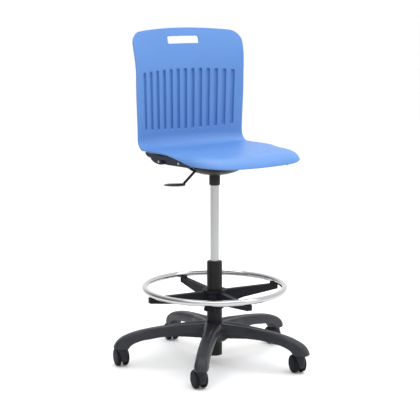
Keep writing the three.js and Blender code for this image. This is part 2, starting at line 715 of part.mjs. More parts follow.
// shallow round cover under the plate, with a slot for the lever
function mechanismCover() {
  const top = PLATE_BOTTOM_Z - GAP;
  const low = COVER_BOTTOM_Z;
  const neck = SOCKET_RADIUS + RUN;
  const w = COVER_WALL;
  const outside = [
    [neck, low],
    [SOCKET_RADIUS * 2.1, low + 2],
    [COVER_RIM_RADIUS * 0.62, low + 9],
    [COVER_RIM_RADIUS * 0.86, low + 21],
    [COVER_RIM_RADIUS, low + 40],
    [COVER_RIM_RADIUS, top],
  ];
  const inside = [
    [COVER_RIM_RADIUS - w, top],
    [COVER_RIM_RADIUS - w, low + 41],
    [COVER_RIM_RADIUS * 0.86 - w, low + 21 + w],
    [COVER_RIM_RADIUS * 0.62, low + 9 + w],
    [SOCKET_RADIUS * 2.1, low + 2 + w],
    [neck, low + w],
  ];
  const cover = turned([...outside, ...inside], 24);
  const slot = box(
    [LEVER_BEND_X, -LEVER_ROD_RADIUS * 2.2, low - 5],
    [PIVOT_X - 4, LEVER_ROD_RADIUS * 2.2, low + 52],
  );
  return carve([cover], [slot]);
}

function leverBracket() {
  const inner = EYE_WIDTH / 2 + RUN;
  const top = PLATE_BOTTOM_Z - GAP;
  const bridgeLow = top - EAR_THICK;
  const low = PIVOT_Z - EYE_RADIUS;
  const halfLength = 9;
  const ears = [-1, 1].map((side) => {
    const near = Math.min(side * inner, side * (inner + EAR_THICK));
    return box([PIVOT_X - halfLength, near, low], [PIVOT_X + halfLength, near + EAR_THICK, top]);
  });
  const bridge = box(
    [PIVOT_X - halfLength, -inner - EAR_THICK, bridgeLow],
    [PIVOT_X + halfLength, inner + EAR_THICK, top],
  );
  const hole = cylinderAlongY(PIVOT_RADIUS + GAP / 2, -inner * 3, inner * 3);
  hole.translate(PIVOT_X, 0, PIVOT_Z);
  return carve([bridge, ...ears], [hole]);
}

function leverPin() {
  const reach = EYE_WIDTH / 2 + RUN + EAR_THICK + 2;
  const pin = cylinderAlongY(PIVOT_RADIUS, -reach, reach);
  pin.translate(PIVOT_X, 0, PIVOT_Z);
  return pin;
}

// cylinder along the sloping part of the lever, from the pivot to past the bend
function leverSlope(radius, extra) {
  const start = new THREE.Vector3(PIVOT_X, 0, PIVOT_Z);
  const end = new THREE.Vector3(LEVER_BEND_X, 0, LEVER_BEND_Z);
  const along = end.clone().sub(start);
  const geometry = rod(radius, 0, along.length() + extra, PIN_SIDES);
  const lean = new THREE.Quaternion();
  lean.setFromUnitVectors(new THREE.Vector3(0, 0, 1), along.normalize());
  geometry.applyQuaternion(lean);
  geometry.translate(start.x, start.y, start.z);
  return geometry;
}

// eye on the pivot, a finger over the button and the rod that slopes out to the paddle
function leverRod() {
  const eye = cylinderAlongY(EYE_RADIUS, -EYE_WIDTH / 2, EYE_WIDTH / 2);
  eye.translate(PIVOT_X, 0, PIVOT_Z);
  const half = LEVER_FINGER_THICK / 2;
  const finger = box([PIVOT_X, -half, PIVOT_Z - half], [BUTTON_RADIUS, half, PIVOT_Z + half]);
  const arm = leverSlope(LEVER_ROD_RADIUS, 0);
  const bore = cylinderAlongY(PIVOT_RADIUS + GAP / 2, -EYE_WIDTH, EYE_WIDTH);
  bore.translate(PIVOT_X, 0, PIVOT_Z);
  return carve([eye, finger, arm], [bore]);
}

// flat leaf-shaped paddle that is moulded over the end of the lever rod
function leverPaddle() {
  const rootX = LEVER_BEND_X + 6;
  const stations = [
    [0, 0.42, 1],
    [0.12, 0.7, 1],
    [0.4, 1, 0.98],
    [0.7, 0.84, 0.86],
    [0.9, 0.46, 0.55],
    [1, 0.12, 0.22],
  ];
  const rings = stations.map(([share, width, thick]) => {
    const x = rootX - PADDLE_LENGTH * share;
    const w = PADDLE_HALF_WIDTH * width;
    const t = PADDLE_THICK * thick / 2;
    const z = LEVER_BEND_Z + PADDLE_RISE * share;
    return [[x, -w, z - t * 0.3], [x, -w * 0.6, z - t], [x, w * 0.6, z - t], [x, w, z - t * 0.3],
      [x, w * 0.85, z + t], [x, -w * 0.85, z + t]];
  });
  return carve([loft(rings)], [leverSlope(LEVER_ROD_RADIUS + GAP, GAP)]);
}

function buildSeat() {
  const seat = assembly('seat_assembly');
  add(seat, 'seat_shell', shellGeometry(), 'blue_plastic');
  add(seat, 'seat_frame', seatFrame(), 'navy_plastic');
  add(seat, 'mechanism_plate', mechanismPlate(), 'black_paint');
  add(seat, 'cone_socket', coneSocket(), 'black_paint');
  add(seat, 'mechanism_cover', mechanismCover(), 'black_paint');
  for (const [label, side] of [['right', -1], ['left', 1]]) {
    PIN_YS.forEach((y, i) => {
      add(seat, `frame_pin_${label}_${i + 1}`, sidePin(side, y, PIN_RISES[i]), 'zinc_steel');
    });
  }
  add(seat, 'lever_bracket', leverBracket(), 'black_paint');
  add(seat, 'lever_pin', leverPin(), 'zinc_steel');
  add(seat, 'lever_rod', leverRod(), 'black_paint');
  add(seat, 'lever_paddle', leverPaddle(), 'gloss_black');
}

// ---------------------------------------------------------------- column

function outerTube() {
  const top = TUBE_TOP_Z;
  const low = TUBE_BOTTOM_Z;
  return turned([
    [TUBE_FOOT_HOLE, low],
    [TUBE_RADIUS - 2, low],
    [TUBE_RADIUS, low + 2],
    [TUBE_RADIUS, top - TUBE_TOP_ROUND],
    [TUBE_RADIUS - TUBE_TOP_ROUND * 0.3, top - TUBE_TOP_ROUND * 0.3],
    [TUBE_RADIUS - TUBE_TOP_ROUND, top],
    [CYLINDER_RADIUS + RUN * 2, top],
    [CYLINDER_RADIUS + RUN * 2, top - 3],
    [TUBE_INNER, top - 3],
    [TUBE_INNER, low + TUBE_FOOT_THICK],
    [TUBE_FOOT_HOLE, low + TUBE_FOOT_THICK],
  ], 24);
}

function gasCylinder() {
  const coneStart = CYLINDER_TOP_Z - CYLINDER_CONE_LENGTH;
  const innerTop = CYLINDER_TOP_Z - CYLINDER_CONE_LENGTH - CYLINDER_END_THICK;
  const pinHole = BUTTON_RADIUS + GAP;
  const pocket = CYLINDER_TOP_Z - (BUTTON_HEIGHT - BUTTON_PROUD) - BUTTON_ROOM;
  return turned([
    [CYLINDER_INNER, CYLINDER_BOTTOM_Z],
    [CYLINDER_RADIUS, CYLINDER_BOTTOM_Z],
    [CYLINDER_RADIUS, coneStart],
    [CYLINDER_CONE_RADIUS, CYLINDER_TOP_Z],
    [pinHole, CYLINDER_TOP_Z],
    [pinHole, pocket],
    [0, pocket],
    [0, innerTop],
    [CYLINDER_INNER, innerTop],
  ]);
}

function buildColumn() {
  const column = assembly('column');
  const floor = TUBE_BOTTOM_Z + TUBE_FOOT_THICK + GAP;
  const bushTop = TUBE_TOP_Z - 3 - GAP;
  const bearingTop = floor + BEARING_HEIGHT;
  const pistonLow = CYLINDER_BOTTOM_Z + GLAND_LENGTH + 4;
  const rodHole = PISTON_ROD_RADIUS + RUN;
  const clipHigh = TUBE_BOTTOM_Z - GAP;
  const bumperLow = bearingTop + GAP;
  const clipLow = clipHigh - CLIP_HEIGHT;
  const glandLow = CYLINDER_BOTTOM_Z + 1;
  const glandHigh = glandLow + GLAND_LENGTH;
  const bush = pipe(CYLINDER_RADIUS + RUN, TUBE_INNER - GAP, bushTop - BUSH_LENGTH, bushTop);
  const bumper = pipe(rodHole, BUMPER_RADIUS, bumperLow, bumperLow + BUMPER_HEIGHT);
  const clip = pipe(PISTON_ROD_RADIUS + GAP, CLIP_RADIUS, clipLow, clipHigh);
  const pistonRod = rod(PISTON_ROD_RADIUS, clipLow - 3, pistonLow - GAP);
  const piston = rod(CYLINDER_INNER - RUN, pistonLow, pistonLow + PISTON_LENGTH);
  const gland = pipe(rodHole, CYLINDER_INNER - GAP, glandLow, glandHigh);
  const button = rod(BUTTON_RADIUS, BUTTON_TOP_Z - BUTTON_HEIGHT, BUTTON_TOP_Z, 16);
  add(column, 'outer_tube', outerTube(), 'black_paint');
  add(column, 'guide_bush', bush, 'dark_plastic');
  add(column, 'thrust_bearing', pipe(rodHole, BEARING_RADIUS, floor, bearingTop), 'zinc_steel');
  add(column, 'rubber_bumper', bumper, 'rubber');
  add(column, 'retaining_clip', clip, 'zinc_steel');
  add(column, 'piston_rod', pistonRod, 'satin_steel');
  add(column, 'piston', piston, 'dark_plastic');
  add(column, 'gas_cylinder', gasCylinder(), 'satin_steel');
  add(column, 'cylinder_gland', gland, 'dark_plastic');
  add(column, 'release_button', button, 'zinc_steel');
}

// ---------------------------------------------------------------- foot ring

function ringSection(radius, sides, offset = 0) {
  const points = [];
  for (let i = 0; i < sides; i += 1) {
    const angle = TURN * (i + 0.5) / sides;
    const reach = radius + offset;
    points.push([RING_RADIUS + reach * Math.cos(angle), RING_Z + reach * Math.sin(angle)]);
  }
  return points;
}

// tapering blade from the hub to just past the ring, along +X
function spoke() {
  const half = SPOKE_THICK / 2;
  const reach = RING_RADIUS + SPOKE_PAST_RING;
  const top = SPOKE_TOP_Z;
  const start = TUBE_RADIUS + 4;
  const stations = [
    [start, SPOKE_ROOT_DEPTH],
    [reach * 0.45, SPOKE_ROOT_DEPTH * 0.68],
    [reach, SPOKE_END_DEPTH],
  ];
  return loft(stations.map(([x, depth]) => [
    [x, -half, top - depth],
    [x, half, top - depth],
    [x, half, top - 1.5],
    [x, half - 1.5, top],
    [x, -half + 1.5, top],
    [x, -half, top - 1.5],
  ]));
}

function spiderHub() {
  const bore = TUBE_RADIUS + RUN;
  const top = SPOKE_TOP_Z + 4;
  const low = top - SPIDER_HUB_DEPTH;
  return turned([
    [bore, low],
    [SPIDER_HUB_WALL_RADIUS - 3, low],
    [SPIDER_HUB_WALL_RADIUS, low + 6],
    [SPIDER_HUB_WALL_RADIUS, top - SPIDER_LIP_HEIGHT - 5],
    [SPIDER_HUB_RADIUS, top - SPIDER_LIP_HEIGHT],
    [SPIDER_HUB_RADIUS, top - 1.5],
    [SPIDER_HUB_RADIUS - 1.5, top],
    [bore, top],
  ]);
}

function knobScrewShape(radius, near, far) {
  const geometry = rod(radius, near, far, 16);
  geometry.rotateY(Math.PI / 2);
  geometry.translate(0, 0, RING_Z - KNOB_BELOW_RING);
  geometry.rotateZ(rad(KNOB_TURN_DEG));
  return geometry;
}

function footRingSpider() {
  const spokes = [];
  for (let i = 0; i < SPOKE_COUNT; i += 1) {
    const blade = spoke();
    blade.rotateZ(rad(SPOKE_TURN_DEG) + TURN * i / SPOKE_COUNT);
    spokes.push(blade);
  }
  const bossEnd = SPIDER_HUB_WALL_RADIUS + KNOB_STANDOFF - 4;
  const boss = knobScrewShape(KNOB_SCREW_RADIUS * 2.2, TUBE_RADIUS + 2, bossEnd);
  const bore = rod(TUBE_RADIUS + RUN, RING_Z - SPIDER_HUB_DEPTH * 3, RING_Z + SPIDER_HUB_DEPTH);
  const screwBore = knobScrewShape(KNOB_SCREW_RADIUS + GAP, 0, SPIDER_HUB_RADIUS * 2);
  return carve([spiderHub(), ...spokes, boss], [bore, screwBore]);
}

// small wedge between a spoke and the inside of the ring
function ringSaddle(turn) {
  const outer = RING_RADIUS - RING_TUBE_RADIUS * 0.45;
  const low = SPOKE_TOP_Z + GAP;
  const half = SADDLE_WIDTH / 2;
  const body = box([outer - SADDLE_LENGTH, -half, low], [outer, half, low + SADDLE_HEIGHT]);
  const ring = turned(ringSection(RING_TUBE_RADIUS + 1, 12, GAP), 96);
  const saddle = carve([body], [ring]);
  saddle.rotateZ(turn);
  return saddle;
}

function clampKnob() {
  const shape = new THREE.Shape();
  const steps = 30;
  for (let i = 0; i < steps; i += 1) {
    const angle = TURN * i / steps;
    const lobe = Math.cos(KNOB_LOBES * (angle + Math.PI / 2));
    const radius = KNOB_RADIUS * (1 - KNOB_LOBE_DEPTH * (1 - lobe) / 2 * 1.6);
    const point = [radius * Math.cos(angle), radius * Math.sin(angle)];
    if (i === 0) shape.moveTo(...point);
    else shape.lineTo(...point);
  }
  const geometry = new THREE.ExtrudeGeometry(shape, { depth: KNOB_THICK, bevelEnabled: false });
  geometry.rotateZ(Math.PI / 2);
  geometry.rotateY(Math.PI / 2);
  geometry.rotateX(Math.PI);
  geometry.translate(SPIDER_HUB_WALL_RADIUS + KNOB_STANDOFF, 0, RING_Z - KNOB_BELOW_RING);
  geometry.rotateZ(rad(KNOB_TURN_DEG));
  const face = SPIDER_HUB_WALL_RADIUS + KNOB_STANDOFF;
  return carve([geometry], [knobScrewShape(KNOB_SCREW_RADIUS + GAP, 0, face + KNOB_THICK * 0.6)]);
}

function buildFootRing() {
  const ring = assembly('foot_ring_assembly');
  add(ring, 'foot_ring', turned(ringSection(RING_TUBE_RADIUS, 8), 48), 'chrome');
  add(ring, 'foot_ring_spider', footRingSpider(), 'dark_plastic');
  for (let i = 0; i < SPOKE_COUNT; i += 1) {
    const turn = rad(SPOKE_TURN_DEG) + TURN * i / SPOKE_COUNT;
    add(ring, `ring_saddle_${i + 1}`, ringSaddle(turn), 'rubber');
  }
  const screwEnd = SPIDER_HUB_WALL_RADIUS + KNOB_STANDOFF + KNOB_THICK * 0.6 - GAP;
  add(ring, 'clamp_screw', knobScrewShape(KNOB_SCREW_RADIUS, TUBE_RADIUS + RUN, screwEnd), 'zinc_steel');
  add(ring, 'clamp_knob', clampKnob(), 'dark_plastic');
}

// ---------------------------------------------------------------- base

// arm stations: share of the stem's reach, then heights above the arm's end face
const ARM_TOP = curveThrough([
  [0, 80], [0.27, 79], [0.41, 76], [0.56, 71], [0.72, 64],
  [0.87, 54.5], [0.98, 43], [1.04, 31.5], [1.08, 18], [1.1, 7],
]);
const ARM_LOW = curveThrough([
  [0, 24], [0.17, 27], [0.26, 30], [0.41, 34], [0.57, 34], [0.72, 30],
  [0.8, 26.5], [0.88, 19], [0.93, 9], [0.95, 0], [1.1, 0],
]);
const ARM_STEP = curveThrough([
  [0, 46], [0.3, 47], [0.5, 41], [0.7, 31.5], [0.8, 27.5],
  [0.88, 20], [0.93, 10], [0.95, 0.8], [1.1, 0.8],
]);

function armSection(share) {
  const x = STEM_REACH * share;
  const top = ARM_END_Z + ARM_TOP(share);
  const low = ARM_END_Z + ARM_LOW(share);
  const step = Math.max(low + 0.6, ARM_END_Z + ARM_STEP(share));
  const tipShare = STEM_REACH + ARM_OVERHANG;
  const toTip = Math.max(0, 1 - (tipShare - x) / ARM_HALF_WIDTH);
  const w = ARM_HALF_WIDTH * Math.sqrt(Math.max(0.3, 1 - toTip ** 2 * 0.75));
  const widening = (w - ARM_WEB_HALF_WIDTH) * smoothStep(0.72, 0.9, share);
  const web = Math.min(ARM_WEB_HALF_WIDTH + widening, w - 1);
  const tall = top - step;
  const half = [
    [web, low],
    [web, step],
    [w, step],
    [w * 0.99, step + tall * 0.5],
    [w * 0.84, step + tall * 0.82],
    [w * 0.5, step + tall * 0.96],
  ];
  const right = half.map(([y, z]) => [x, y, z]);
  const left = half.map(([y, z]) => [x, -y, z]).reverse();
  return [...right, [x, 0, top], ...left];
}

function baseArm() {
  const shares = [0.06, 0.28, 0.42, 0.57, 0.72, 0.82, 0.89, 0.935, 0.96, 1.02, 1.06];
  const tip = (STEM_REACH + ARM_OVERHANG) / STEM_REACH;
  return loft([...shares, tip].map(armSection));
}

function baseStar() {
  const hub = turned([
    [0, HUB_TOP_Z - HUB_HEIGHT],
    [HUB_RADIUS - 8, HUB_TOP_Z - HUB_HEIGHT],
    [HUB_RADIUS, HUB_TOP_Z - HUB_HEIGHT + 8],
    [HUB_RADIUS, HUB_TOP_Z - HUB_TOP_ROUND],
    [HUB_RADIUS - HUB_TOP_ROUND, HUB_TOP_Z],
    [0, HUB_TOP_Z],
  ]);
  const solids = [hub];
  const cutters = [rod(TUBE_RADIUS + GAP, 0, HUB_TOP_Z * 2)];
  for (let i = 0; i < ARM_COUNT; i += 1) {
    const turn = rad(ARM_TURN_DEG) + TURN * i / ARM_COUNT;
    const arm = baseArm();
    arm.rotateZ(turn);
    solids.push(arm);
    const socket = rod(STEM_RADIUS + RUN, 0, ARM_END_Z + STEM_IN_ARM + 2, PIN_SIDES);
    socket.translate(STEM_REACH, 0, 0);
    socket.rotateZ(turn);
    cutters.push(socket);
  }
  return carve(solids, cutters);
}

// ---------------------------------------------------------------- casters

function wheel(side) {
  const outer = WHEEL_INNER_FACE + WHEEL_WIDTH;
  const corner = 1 / Math.cos(Math.PI / WHEEL_SIDES);
  const r = WHEEL_RADIUS * corner;
  const boreEnd = WHEEL_INNER_FACE + AXLE_IN_WHEEL + GAP;
  const geometry = turned([
    [AXLE_RADIUS + RUN, WHEEL_INNER_FACE],
    [r - WHEEL_CHAMFER, WHEEL_INNER_FACE],
    [r, WHEEL_INNER_FACE + WHEEL_CHAMFER],
    [r, outer - WHEEL_CHAMFER],
    [r - WHEEL_CHAMFER, outer],
    [0, outer],
    [0, boreEnd],
    [AXLE_RADIUS + RUN, boreEnd],
  ], WHEEL_SIDES);
  geometry.rotateZ(Math.PI / WHEEL_SIDES);
  geometry.rotateY(side * Math.PI / 2);
  geometry.translate(0, CASTER_TRAIL, AXLE_Z);
  return geometry;
}

// upright round hood in front of the wheels, with a web between them that holds the axle
function hood() {
  const body = turned([
    [0, HOOD_BOTTOM_Z],
    [HOOD_RADIUS - 5, HOOD_BOTTOM_Z],
    [HOOD_RADIUS - 1, HOOD_BOTTOM_Z + 5],
    [HOOD_RADIUS, HOOD_BOTTOM_Z + 12],
    [HOOD_RADIUS, HOOD_TOP_Z - 1],
    [HOOD_RADIUS - 1, HOOD_TOP_Z],
    [0, HOOD_TOP_Z],
  ], 18);
  const webHalf = WHEEL_INNER_FACE - HOOD_WHEEL_CLEARANCE;
  const webEnd = discAlongX(HOOD_WEB_RADIUS, -webHalf, webHalf, 12);
  webEnd.translate(0, CASTER_TRAIL, AXLE_Z);
  const web = box(
    [-webHalf, 0, AXLE_Z - HOOD_WEB_RADIUS + 0.5],
    [webHalf, CASTER_TRAIL, AXLE_Z + HOOD_WEB_RADIUS + 8],
  );
  const wells = [-1, 1].map((side) => {
    const near = Math.min(side * webHalf, side * HOOD_RADIUS * 2);
    const far = Math.max(side * webHalf, side * HOOD_RADIUS * 2);
    const well = discAlongX(WHEEL_CORNER_RADIUS + HOOD_ABOVE_WHEEL - 0.2, near, far, 20);
    well.translate(0, CASTER_TRAIL, AXLE_Z);
    return well;
  });
  const stemBore = rod(STEM_RADIUS + RUN, HOOD_TOP_Z - STEM_IN_HOOD - GAP, HOOD_TOP_Z + 5, PIN_SIDES);
  const axleBore = discAlongX(AXLE_RADIUS + GAP, -HOOD_RADIUS, HOOD_RADIUS, PIN_SIDES);
  axleBore.translate(0, CASTER_TRAIL, AXLE_Z);
  return carve([body, web, webEnd], [...wells, stemBore, axleBore]);
}

function buildCaster(index) {
  const caster = assembly(`caster_${index + 1}`);
  const turn = rad(ARM_TURN_DEG) + TURN * index / ARM_COUNT;
  const place = [STEM_REACH * Math.cos(turn), STEM_REACH * Math.sin(turn)];
  const label = `caster_${index + 1}`;
  const outer = WHEEL_INNER_FACE + AXLE_IN_WHEEL;
  const stem = rod(STEM_RADIUS, HOOD_TOP_Z - STEM_IN_HOOD, ARM_END_Z + STEM_IN_ARM, PIN_SIDES);
  const axle = discAlongX(AXLE_RADIUS, -outer, outer, PIN_SIDES);
  axle.translate(0, CASTER_TRAIL, AXLE_Z);
  add(caster, `${label}_stem`, stem, 'zinc_steel');
  add(caster, `${label}_hood`, hood(), 'dark_plastic');
  add(caster, `${label}_axle`, axle, 'zinc_steel');
  add(caster, `${label}_wheel_right`, wheel(-1), 'dark_plastic');
  add(caster, `${label}_wheel_left`, wheel(1), 'dark_plastic');
  caster.rotation.z = rad(CASTER_TURN_DEG);
  caster.position.set(place[0], place[1], 0);
}

// ---------------------------------------------------------------- the whole chair

function standOnOrigin(group) {
  group.updateMatrixWorld(true);
  const bounds = new THREE.Box3().setFromObject(group, true);
  const centre = bounds.getCenter(new THREE.Vector3());
  group.position.set(-centre.x, -centre.y, -bounds.min.z);
  group.updateMatrixWorld(true);
}

buildSeat();
buildColumn();
buildFootRing();
add(assembly('base'), 'base_star', baseStar(), 'charcoal_plastic');
for (let i = 0; i < ARM_COUNT; i += 1) buildCaster(i);
standOnOrigin(chair);

export default chair;
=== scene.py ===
# Looks of the drafting chair, built around the imported CAD frame.
# Lengths in this file are millimetres about the column axis, and TO_FRAME turns them into the frame's metres.

import json
import math

import bmesh
import bpy
import numpy as np
from mathutils import Matrix, Vector


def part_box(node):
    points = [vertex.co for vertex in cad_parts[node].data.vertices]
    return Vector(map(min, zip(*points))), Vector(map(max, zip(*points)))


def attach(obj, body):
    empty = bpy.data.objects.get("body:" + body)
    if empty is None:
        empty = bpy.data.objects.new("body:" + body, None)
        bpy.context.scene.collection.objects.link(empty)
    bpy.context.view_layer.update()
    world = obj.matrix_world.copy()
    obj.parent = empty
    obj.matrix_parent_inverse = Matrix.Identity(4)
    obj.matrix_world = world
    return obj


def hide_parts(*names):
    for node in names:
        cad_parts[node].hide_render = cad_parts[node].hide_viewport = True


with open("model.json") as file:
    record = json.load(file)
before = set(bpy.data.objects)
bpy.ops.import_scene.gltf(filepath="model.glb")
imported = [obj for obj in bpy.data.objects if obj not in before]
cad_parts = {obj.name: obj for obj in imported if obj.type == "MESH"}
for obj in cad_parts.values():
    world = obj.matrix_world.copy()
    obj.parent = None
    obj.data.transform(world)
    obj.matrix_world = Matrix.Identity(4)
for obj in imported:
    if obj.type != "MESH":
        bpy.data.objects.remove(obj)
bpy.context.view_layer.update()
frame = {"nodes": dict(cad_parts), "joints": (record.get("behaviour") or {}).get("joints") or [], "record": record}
JOINTS = {joint["name"]: joint for joint in frame["joints"]}
AXIS = JOINTS["seat_swivel"]["pos_m"]
MM = 0.001

# ---------------------------------------------------------------- places taken from the frame


def low(node):
    """Lowest corner of a CAD node, in millimetres about the column axis."""
    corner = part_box(node)[0]
    return Vector(((corner.x - AXIS[0]) / MM, (corner.y - AXIS[1]) / MM, corner.z / MM))


def high(node):
    """Highest corner of a CAD node, in millimetres about the column axis."""
    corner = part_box(node)[1]
    return Vector(((corner.x - AXIS[0]) / MM, (corner.y - AXIS[1]) / MM, corner.z / MM))


TO_FRAME = Matrix.Translation((AXIS[0], AXIS[1], 0)) @ Matrix.Scale(MM, 4)

# ---------------------------------------------------------------- finishes


def principled(name):
    material = bpy.data.materials.new(name)
    material.use_nodes = True
    nodes = material.node_tree.nodes
    return material, nodes, material.node_tree.links, nodes["Principled BSDF"]


def noise(nodes, links, coords, scale, detail=3.0, stretch=None):
    """A noise texture in object coordinates; the scale is in features per metre."""
    texture = nodes.new("ShaderNodeTexNoise")
    texture.inputs["Scale"].default_value = scale
    texture.inputs["Detail"].default_value = detail
    if stretch is None:
        links.new(coords.outputs["Object"], texture.inputs["Vector"])
    else:
        mapping = nodes.new("ShaderNodeMapping")
        mapping.inputs["Scale"].default_value = stretch
        links.new(coords.outputs["Object"], mapping.inputs["Vector"])
        links.new(mapping.outputs["Vector"], texture.inputs["Vector"])
    return texture


def ramped(nodes, links, source, from_low, from_high, to_low, to_high):
    """Maps one value range onto another."""
    remap = nodes.new("ShaderNodeMapRange")
    remap.inputs["From Min"].default_value = from_low
    remap.inputs["From Max"].default_value = from_high
    remap.inputs["To Min"].default_value = to_low
    remap.inputs["To Max"].default_value = to_high
    links.new(source, remap.inputs["Value"])
    return remap.outputs["Result"]


def finish(name, tone, rough, metal=0.0, spread=0.04, cloud=9.0, rough_spread=0.05, grain=1400.0,
           grain_height=0.02, grain_depth=0.0001, specular=0.5, coat=0.0, stretch=None, wear=0.0,
           anisotropic=0.0):
    """A procedural finish: cloudy tone, varied roughness, fine bump, and lighter worn edges where asked."""
    material, nodes, links, shader = principled(name)
    coords = nodes.new("ShaderNodeTexCoord")
    clouds = noise(nodes, links, coords, cloud, 4.0)
    mix = nodes.new("ShaderNodeMix")
    mix.data_type = "RGBA"
    mix.inputs["A"].default_value = [channel * (1 - spread) for channel in tone] + [1.0]
    mix.inputs["B"].default_value = [min(1.0, channel * (1 + spread)) for channel in tone] + [1.0]
    links.new(ramped(nodes, links, clouds.outputs["Fac"], 0.3, 0.7, 0.0, 1.0), mix.inputs["Factor"])
    colour = mix.outputs["Result"]
    if wear > 0:
        geometry = nodes.new("ShaderNodeNewGeometry")
        edge = ramped(nodes, links, geometry.outputs["Pointiness"], 0.52, 0.62, 0.0, wear)
        worn = nodes.new("ShaderNodeMix")
        worn.data_type = "RGBA"
        worn.inputs["B"].default_value = [min(1.0, channel * 1.6 + 0.03) for channel in tone] + [1.0]
        links.new(colour, worn.inputs["A"])
        links.new(edge, worn.inputs["Factor"])
        colour = worn.outputs["Result"]
    links.new(colour, shader.inputs["Base Color"])
    fine = noise(nodes, links, coords, grain, 2.0, stretch)
    smudge = noise(nodes, links, coords, 35.0, 5.0)
    blend = nodes.new("ShaderNodeMath")
    blend.operation = "MULTIPLY_ADD"
    blend.inputs[1].default_value = 0.35
    links.new(fine.outputs["Fac"], blend.inputs[0])
    links.new(smudge.outputs["Fac"], blend.inputs[2])
    smoothest, roughest = rough - rough_spread, rough + rough_spread
    rough_out = ramped(nodes, links, blend.outputs["Value"], 0.35, 1.0, smoothest, roughest)
    links.new(rough_out, shader.inputs["Roughness"])
    bump = nodes.new("ShaderNodeBump")
    bump.inputs["Strength"].default_value = grain_height
    bump.inputs["Distance"].default_value = grain_depth
    links.new(fine.outputs["Fac"], bump.inputs["Height"])
    links.new(bump.outputs["Normal"], shader.inputs["Normal"])
    shader.inputs["Metallic"].default_value = metal
    shader.inputs["Specular IOR Level"].default_value = specular
    shader.inputs["Coat Weight"].default_value = coat
    shader.inputs["Anisotropic"].default_value = anisotropic
    return material


MATERIALS = {
    "blue_plastic": finish("blue_plastic", (0.080, 0.202, 0.485), 0.47, spread=0.025, cloud=7.0,
                           grain=2600.0, grain_height=0.28, grain_depth=0.00012, specular=0.42, wear=0.10),
    "navy_plastic": finish("navy_plastic", (0.011, 0.017, 0.032), 0.55, grain=2200.0, grain_height=0.3,
                           specular=0.22, wear=0.2),
    "charcoal_plastic": finish("charcoal_plastic", (0.019, 0.0198, 0.026), 0.45, spread=0.06, cloud=14.0,
                               grain=2400.0, grain_height=0.35, specular=0.30, wear=0.2),
    "dark_plastic": finish("dark_plastic", (0.009, 0.0092, 0.0125), 0.46, grain=2400.0, grain_height=0.3,
                           specular=0.05, wear=0.12),
    "hood_plastic": finish("hood_plastic", (0.0125, 0.013, 0.0175), 0.46, grain=2400.0, grain_height=0.3,
                           specular=0.17, wear=0.12),
    "black_paint": finish("black_paint", (0.0075, 0.0075, 0.008), 0.5, specular=0.22, spread=0.10, cloud=60.0,
                          grain=2900.0, grain_height=0.5, grain_depth=0.00015, wear=0.15),
    "gloss_black": finish("gloss_black", (0.004, 0.004, 0.005), 0.25, grain=500.0, grain_height=0.05,
                          coat=0.3),
    "chrome": finish("chrome", (0.48, 0.485, 0.49), 0.075, metal=1.0, spread=0.015, rough_spread=0.03,
                     grain=300.0, grain_height=0.02),
    "satin_steel": finish("satin_steel", (0.41, 0.412, 0.416), 0.34, metal=1.0, spread=0.02,
                          rough_spread=0.05, grain=900.0, grain_height=0.08,
                          stretch=(1.0, 1.0, 0.03), anisotropic=0.3),
    "zinc_steel": finish("zinc_steel", (0.55, 0.55, 0.54), 0.38, metal=1.0, spread=0.08, cloud=120.0,
                         grain=1200.0, grain_height=0.15),
    "rubber": finish("rubber", (0.018, 0.018, 0.019), 0.78, spread=0.12, cloud=80.0, grain=1800.0,
                     grain_height=0.4, specular=0.3),
}

# ---------------------------------------------------------------- piece helpers


def piece(name, mesh, body, slot, nodes, smooth_deg=38.0, look=None):
    """Adds a finished mesh, in millimetres about the column axis, in place of the named CAD nodes."""
    mesh.transform(TO_FRAME)
    mesh.name = name
    mesh.polygons.foreach_set("use_smooth", [True] * len(mesh.polygons))
    if smooth_deg:
        mesh.set_sharp_from_angle(angle=math.radians(smooth_deg))
    mesh.materials.clear()
    mesh.materials.append(MATERIALS[look or slot])
    obj = bpy.data.objects.new(name, mesh)
    bpy.context.scene.collection.objects.link(obj)
    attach(obj, body)
    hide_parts(*nodes)
    return obj


def mesh_of(points, faces):
    mesh = bpy.data.meshes.new("piece")
    mesh.from_pydata([tuple(map(float, p)) for p in points], [], [tuple(map(int, f)) for f in faces])
    mesh.update()
    return mesh


def faced_out(mesh):
    """Welds a mesh and turns its faces outwards."""
    work = bmesh.new()
    work.from_mesh(mesh)
    bmesh.ops.remove_doubles(work, verts=work.verts, dist=1e-4)
    bmesh.ops.recalc_face_normals(work, faces=work.faces)
    work.to_mesh(mesh)
    work.free()
    return mesh


def lathe(profile, sides=64):
    """Round body about +Z from [radius, height] points; a profile off the axis closes on itself."""
    ring = [p for p in profile]
    closed = ring[0][0] > 0 and ring[-1][0] > 0
    points = []
    faces = []
    index = []
    for radius, z in ring:
        if radius <= 0:
            index.append([len(points)] * sides)
            points.append((0, 0, z))
            continue
        start = len(points)
        index.append(list(range(start, start + sides)))
        for i in range(sides):
            angle = 2 * math.pi * i / sides
            points.append((radius * math.cos(angle), radius * math.sin(angle), z))
    pairs = [(i, i + 1) for i in range(len(ring) - 1)]
    if closed:
        pairs.append((len(ring) - 1, 0))
    for a, b in pairs:
        for i in range(sides):
            j = (i + 1) % sides
            corners = [index[a][i], index[a][j], index[b][j], index[b][i]]
            unique = list(dict.fromkeys(corners))
            if len(unique) > 2:
                faces.append(unique)
    return faced_out(mesh_of(points, faces))


def rod(radius, start, end, sides=48):
    return lathe([(0, start), (radius, start), (radius, end), (0, end)], sides)


